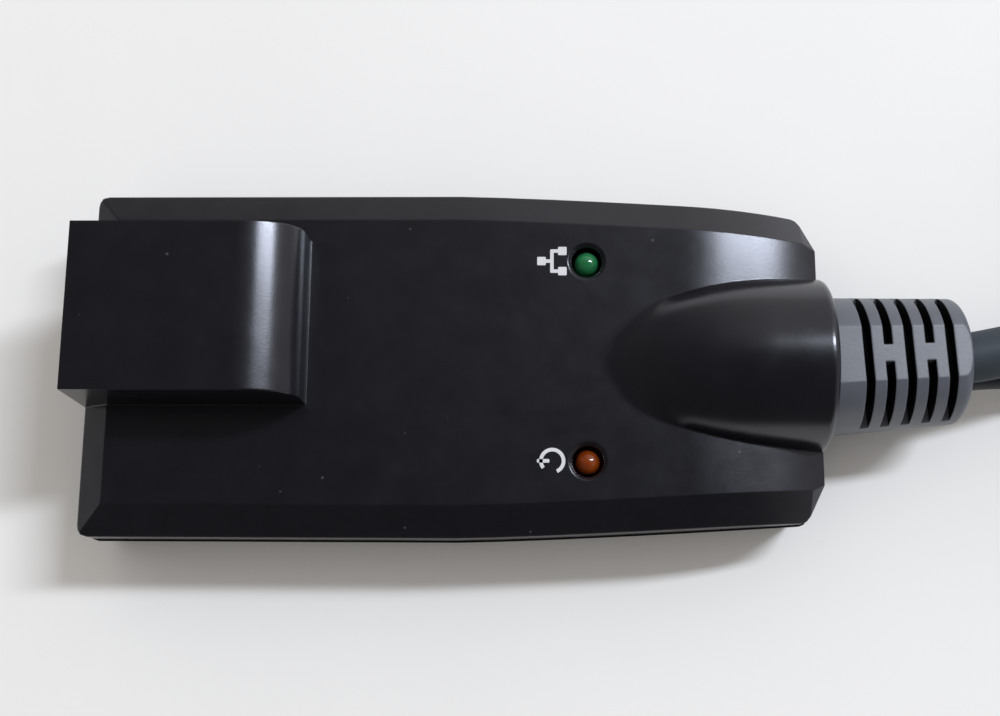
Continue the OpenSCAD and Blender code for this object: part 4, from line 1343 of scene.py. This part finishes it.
class LinkMark(Mark):
    """Three linked boxes beside the link lamp, whose strokes lie at heights of their own."""

    box_share = 0.3
    reach_share = 0.36
    arm_ink = 0.7
    bar_ink = 0.85

    def build(self) -> Piece:
        """Returns the mark."""
        side = self.box_share * self.size
        reach = self.reach_share * self.size
        arm = (reach, self.line, self.arm_ink)
        return self.place(
            [
                self.plate("link_box", -reach, 0.0, side, side),
                self.plate("link_box", reach, reach, side, side),
                self.plate("link_box", reach, -reach, side, side),
                self.plate("link_stem", -reach / 2, 0.0, *arm),
                self.plate("link_bar", 0.0, 0.0, self.line, 2 * reach + self.line, self.bar_ink),
                self.plate("link_arm", reach / 2, reach, *arm),
                self.plate("link_arm", reach / 2, -reach, *arm),
            ],
            "link_mark",
        )


class PowerMark(Mark):
    """A broken ring with a bar beside the power lamp."""

    radius_share = 0.38
    ring_start = 218.0
    ring_sweep = 284.0
    bar_place = 0.8
    bar_share = 0.42

    def build(self) -> Piece:
        """Returns the mark, whose gap faces the socket's end."""
        radius = self.radius_share * self.size
        bar = -radius * self.bar_place
        return self.place(
            [
                self.arc("power_ring", radius, self.ring_start, self.ring_sweep),
                self.plate("power_bar", bar, 0.0, self.bar_share * self.size, self.line),
            ],
            "power_mark",
        )


# The display plug's screws


@dataclass
class Thumbscrew:
    """A thumbscrew with its thread, its fluted knob and the slot in the knob's end."""

    name: str
    node: str
    body: str
    knob_length: float = 14.0
    collar_share: float = 0.12
    flutes: int = 14
    flute_sides: int = 4
    flute_share: float = 0.9
    rim_share: float = 0.3
    sink: float = 0.3
    slot_half: float = 0.4
    slot_depth: float = 1.0
    thread_radius: float = 1.42
    thread_depth: float = 0.22
    pitch: float = 0.635
    root_share: float = 0.9
    crest_place: float = 0.5
    tooth_width: float = 0.9
    steps: int = 20

    def build(self) -> Piece:
        """Returns the screw, fitted to its solid's place and size."""
        low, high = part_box(self.node)
        low, high = Vector(low), Vector(high)
        axis = (low + high) / 2
        knob_r = (high.y - low.y) / 2
        knob_x = high.x - self.knob_length * MM
        knob = self.knob(axis, knob_r, knob_x, high.x)
        shank = self.shank(axis, low.x, knob_x)
        screw = Bench.join([knob, shank], self.name)
        wardrobe.dress(screw, KNOB_BLACK)
        screw.data.materials.append(wardrobe.material(SCREW_STEEL))
        for face in screw.data.polygons:
            face.material_index = int(face.center.x < knob_x - 10 * TINY)
        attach(screw, self.body)
        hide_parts(self.node)
        return screw

    def knob(self, axis: Vector, radius: float, start: float, end: float) -> Piece:
        """Returns the knob: flutes drawn in along its side, a plain collar and a driver's slot.

        Args:
            axis: A place on the screw's axis.
            radius: The knob's radius in metres.
            start: Where it starts along X, in metres.
            end: Where it ends.
        """
        sides = self.flute_sides * self.flutes
        piece = Bench.rod("knob", radius, end - start, (start, axis.y, axis.z), sides)
        collar = start + self.collar_share * (end - start)
        Bench.pick(piece, "FACE", lambda face: True)
        bpy.ops.mesh.bisect(plane_co=(collar, axis.y, axis.z), plane_no=Axis.X.value)
        Bench.pick(piece, "EDGE", lambda edge: self.is_flute(piece, edge, axis, collar))
        bpy.ops.mesh.select_mode(type="VERT")
        bpy.ops.transform.resize(
            value=(1.0, self.flute_share, self.flute_share),
            center_override=(collar, axis.y, axis.z),
        )
        Bench.pick(piece, "FACE", lambda face: face.normal.x > ALONG)
        bpy.ops.mesh.inset(thickness=self.rim_share * radius)
        self.press_in(self.sink)
        half = self.slot_half * MM
        for side in (-half, half):
            Bench.pick(piece, "FACE", lambda face: self.is_floor(face, end))
            bpy.ops.mesh.bisect(plane_co=(end, axis.y, axis.z + side), plane_no=Axis.Z.value)
        Bench.pick(
            piece, "FACE",
            lambda face: self.is_floor(face, end) and abs(face.center.z - axis.z) < half,
        )
        self.press_in(self.slot_depth)
        bpy.ops.object.mode_set(mode="OBJECT")
        Bench.soften(piece, width=0.1 * MM, segments=2, angle=40.0)
        return piece

    @staticmethod
    def press_in(depth: float) -> None:
        """Presses the selected faces of the knob's end in, by a depth in millimetres."""
        inwards = millimetres(-depth, 0, 0)
        bpy.ops.mesh.extrude_region_move(TRANSFORM_OT_translate={"value": inwards})

    def is_floor(self, face: Face, end: float) -> bool:
        """Returns whether a face is part of the sunk floor in the knob's end."""
        return face.normal.x > ALONG and face.center.x < end - self.sink / 2 * MM

    def is_flute(self, piece: Piece, edge: Edge, axis: Vector, collar: float) -> bool:
        """Returns whether a lengthwise edge lies in the bottom of a flute."""
        a, b = (piece.data.vertices[i].co for i in edge.vertices)
        if abs(Bench.direction(piece, edge).x) < ALONG or max(a.x, b.x) <= collar + TINY:
            return False
        step = 2 * math.pi / self.flutes
        turns = math.atan2(a.y - axis.y, a.z - axis.z) / step
        return abs(turns - round(turns)) * self.flute_sides < 0.5

    def shank(self, axis: Vector, start: float, end: float) -> Piece:
        """Returns the threaded shank, screwed up from one tooth of the thread's outline.

        Args:
            axis: A place on the screw's axis.
            start: Where the shank starts along X, in metres.
            end: Where it ends.
        """
        pitch = self.pitch * MM
        turns = int((end - start) / pitch) - 1
        radius = self.thread_radius * MM
        core = radius - self.thread_depth * MM
        root = self.root_share * core
        piece = Bench.rod("shank", core, end - start, (start, axis.y, axis.z), sides=32)
        Bench.clear()
        bpy.ops.mesh.primitive_plane_add(size=1.0)
        tooth = Bench.named("thread")
        corners = [
            (start, root), (start + self.crest_place * pitch, radius),
            (start + self.tooth_width * pitch, root),
        ]
        tooth.data.clear_geometry()
        places = [(x, axis.y + r, axis.z) for x, r in corners]
        tooth.data.from_pydata(places, [(0, 1), (1, 2)], [])
        Bench.pick(tooth, "EDGE", lambda edge: True)
        bpy.ops.mesh.spin(
            steps=self.steps * turns, angle=2 * math.pi * turns, center=(start, axis.y, axis.z),
            axis=Axis.X.value, dupli=False,
        )
        bpy.ops.object.mode_set(mode="OBJECT")
        outline = len(corners)
        last = len(tooth.data.vertices) // outline - 1
        for vertex in tooth.data.vertices:
            vertex.co.x += pitch * turns * (vertex.index // outline) / last
        return Bench.join([piece, tooth], "shank")


@dataclass
class PlugMark:
    """The raised arrow on a round plug that says which side is up."""

    name: str
    node: str
    finish: Moulded
    flat_share: float = 0.86
    gap: float = 1.2
    head: float = 1.0
    stem: Point = (2.4, 0.8, 0.5)
    flare: float = 2.8
    point: float = 0.12

    def build(self) -> Piece:
        """Returns the arrow, on the flat on top of the plug's moulding."""
        low, high = (Vector(v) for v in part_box(self.node))
        top = (low.z + high.z) / 2 + self.flat_share * (high.y - low.y) / 2
        middle = (low.y + high.y) / 2
        start = low.x + self.gap * MM
        neck = start + self.head * MM
        stem = Bench.block(
            self.name, millimetres(*self.stem), (neck + self.stem[0] / 2 * MM, middle, top)
        )
        Bench.pick(stem, "FACE", lambda face: face.normal.x < -ALONG)
        bpy.ops.transform.resize(value=(1.0, self.flare, 1.0), center_override=(neck, middle, top))
        ahead = millimetres(-self.head, 0, 0)
        bpy.ops.mesh.extrude_region_move(TRANSFORM_OT_translate={"value": ahead})
        bpy.ops.transform.resize(value=(1.0, self.point, 1.0), center_override=(start, middle, top))
        Bench.soften(stem, width=0.1 * MM, segments=2)
        wardrobe.dress(stem, self.finish)
        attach(stem, BODY)
        return stem


# Studio


@dataclass(frozen=True)
class PhotoCamera:
    """The camera, at the place and angle that the photograph was taken from."""

    place: Point = (0.2375, -30.3143, 163.0569)
    roll: float = 0.0066
    pitch: float = 0.2012
    yaw: float = 0.0259
    lens: float = 47.35
    sensor: float = 36.0
    near: float = 5.0

    def build(self) -> Piece:
        """Returns the camera, set as the scene's own."""
        data = bpy.data.cameras.new("photo_camera")
        data.lens = self.lens
        data.sensor_width = self.sensor
        data.clip_start = self.near * MM
        camera = bpy.data.objects.new("photo_camera", data)
        turn = (
            Matrix.Rotation(self.yaw, 4, "Y")
            @ Matrix.Rotation(self.pitch, 4, "X")
            @ Matrix.Rotation(self.roll, 4, "Z")
        )
        camera.matrix_world = Matrix.Translation(Vector(millimetres(*self.place))) @ turn
        bpy.context.scene.collection.objects.link(camera)
        bpy.context.scene.camera = camera
        return camera


@dataclass(frozen=True)
class Softbox:
    """A rectangular lamp that faces the case, with its first side along a slanting line."""

    name: str
    place: Point
    size: tuple[float, float]
    power: float
    colour: Colour = (1.0, 1.0, 1.0)
    target: Point = (0.02, 0.0, 0.01)
    slant: Point = (1.0, 0.16, 0.0)

    def build(self) -> Piece:
        """Returns the lamp."""
        data = bpy.data.lights.new(self.name, "AREA")
        data.shape = "RECTANGLE"
        data.size, data.size_y = self.size
        data.energy = self.power
        data.color = self.colour
        lamp = bpy.data.objects.new(self.name, data)
        lamp.location = self.place
        back = (Vector(self.place) - Vector(self.target)).normalized()
        along = (Vector(self.slant) - back * back.dot(Vector(self.slant))).normalized()
        up = back.cross(along)
        lamp.rotation_euler = Matrix((along, up, back)).transposed().to_euler()
        bpy.context.scene.collection.objects.link(lamp)
        return lamp


WINDOW = Softbox(
    "window", place=(0.70, 0.475, 1.0), size=(0.57, 0.11), power=12.6, colour=(0.84, 0.90, 1.0)
)


@dataclass(frozen=True)
class Studio:
    """The pale floor, the world's light and the lamp.

    Each fade holds a span of a direction's share, and the strengths at the span's ends.
    """

    side: float = 6.0
    drop: float = 1e-5
    floor: Colour = (0.83, 0.822, 0.795)
    drift: float = 0.01
    low: float = 0.75
    high: float = 0.85
    tint: Colour = (1.0, 0.965, 0.95)
    backdrop: float = 0.84
    soft: tuple = ((-1.0, 1.0), (0.32, 0.86))
    dim: float = 0.06
    behind: tuple = ((0.0, 0.75), (0.0, 0.46))
    across: tuple = ((-0.45, 0.35), (0.1, 1.25))
    ahead: tuple = ((0.45, 0.9), (0.0, 0.3))
    back: tuple = ((-0.15, -0.8), (0.0, 0.045))

    def build(self) -> None:
        """Makes the floor, the world and the lamp."""
        Bench.clear()
        bpy.ops.mesh.primitive_plane_add(size=self.side, location=(0.0, 0.0, -self.drop))
        floor = Bench.named("floor")
        bpy.ops.object.transform_apply(location=True, rotation=True, scale=True)
        graph = Graph("floor_card")
        tone = graph.effect(
            Effects.mottle(), Scale=30.0,
            Dark=shade(self.floor, 1 - self.drift), Light=shade(self.floor, 1 + self.drift),
        )
        graph.base(tone)
        graph.roughness(tone.outputs["Mask"], self.low, self.high)
        graph.settings(Specular_IOR_Level=0.2)
        floor.data.materials.append(graph.material)
        self.world()
        WINDOW.build()

    def world(self) -> None:
        """Makes the world: a plain backdrop for the eye, and light that fades for the pieces."""
        world = bpy.data.worlds.new("studio")
        bpy.context.scene.world = world
        world.use_nodes = True
        tree = world.node_tree
        ground = tree.nodes["Background"]
        ground.inputs["Color"].default_value = (*self.tint, 1.0)
        way = add_node(tree, "SeparateXYZ")
        place = add_node(tree, "TexCoord")
        tree.links.new(place.outputs["Generated"], way.inputs["Vector"])
        both = add_node(tree, "Math", operation="MULTIPLY")
        tree.links.new(self.ramp(tree, way.outputs["Y"], *self.behind), both.inputs[0])
        tree.links.new(self.ramp(tree, way.outputs["X"], *self.across), both.inputs[1])
        gloss = both.outputs["Value"]
        for fade in (self.ahead, self.back):
            total = add_node(tree, "Math")
            tree.links.new(gloss, total.inputs[0])
            tree.links.new(self.ramp(tree, way.outputs["X"], *fade), total.inputs[1])
            gloss = total.outputs["Value"]
        gloss = self.ramp(tree, gloss, (0.0, 1.0), (self.dim, 1.0 + self.dim), "LINEAR")
        path = add_node(tree, "LightPath")
        soft = self.ramp(tree, way.outputs["Y"], *self.soft)
        mix = add_node(tree, "Mix")
        tree.links.new(path.outputs["Is Diffuse Ray"], mix.inputs["Factor"])
        tree.links.new(gloss, mix.inputs["A"])
        tree.links.new(soft, mix.inputs["B"])
        seen = preset(add_node(tree, "MapRange"), To_Max=self.backdrop)
        wire(
            tree, (path, "Is Camera Ray", seen, "Value"), (mix, "Result", seen, "To Min"),
            (seen, "Result", ground, "Strength"),
        )

    @staticmethod
    def ramp(
        tree: Tree, value: Socket, span: tuple, result: tuple, shape: str = "SMOOTHSTEP"
    ) -> Socket:
        """Returns a value mapped from one span to another.

        Args:
            tree: The tree that it stands in.
            value: The value.
            span: The value's span.
            result: The result's span.
            shape: The kind of curve between them.
        """
        (low, high), (first, last) = span, result
        made = preset(
            add_node(tree, "MapRange", interpolation_type=shape),
            From_Min=low, From_Max=high, To_Min=first, To_Max=last,
        )
        tree.links.new(value, made.inputs["Value"])
        return made.outputs["Result"]


def report(piece: Piece) -> Piece:
    """Logs a piece and returns it."""
    log.info("made %s", piece.name)
    return piece


def main() -> None:
    """Makes the camera, the cords, the other pieces, the finishes and the studio."""
    logging.basicConfig(level=logging.INFO, format="%(name)s: %(message)s")
    report(PhotoCamera().build())
    cords = [DISPLAY_CORD, PAIR_CORD, KEYBOARD_CORD, MOUSE_CORD]
    leads = {cord.name: report(cord.build()) for cord in cords}
    report(Splitter().build())
    report(Tie().build())
    report(Thumbscrew("left_thumbscrew", "thumbscrew_left", "left_screw").build())
    report(Thumbscrew("right_thumbscrew", "thumbscrew_right", "right_screw").build())
    report(PlugMark("keyboard_mark", "keyboard_plug_body", PLUG_PURPLE).build())
    report(PlugMark("mouse_mark", "mouse_plug_body", PLUG_GREEN).build())
    report(LinkMark((2.4, 11.8, 13.7)).build())
    report(PowerMark((2.4, -11.8, 13.7)).build())
    for name, finish in NODE_FINISHES.items():
        wardrobe.dress(node(name), finish)
    case_forms = (Crown(), Bevels(), Sides(), HoodRound(), Turned())
    forms = {"top_shell": case_forms, "bottom_shell": case_forms, "strain_relief": (ReliefSide(),)}
    kinds = {"top_shell": HoodSkin, "strain_relief": ReliefSkin}
    for name in CURVED:
        report(kinds.get(name, Skin)(name, NODE_FINISHES[name], forms.get(name, ())).build())
    for cord in cords:
        cord.declare(leads[cord.name])
    Studio().build()
    bpy.context.scene.view_settings.view_transform = "Standard"


if __name__ == "__main__":
    main()
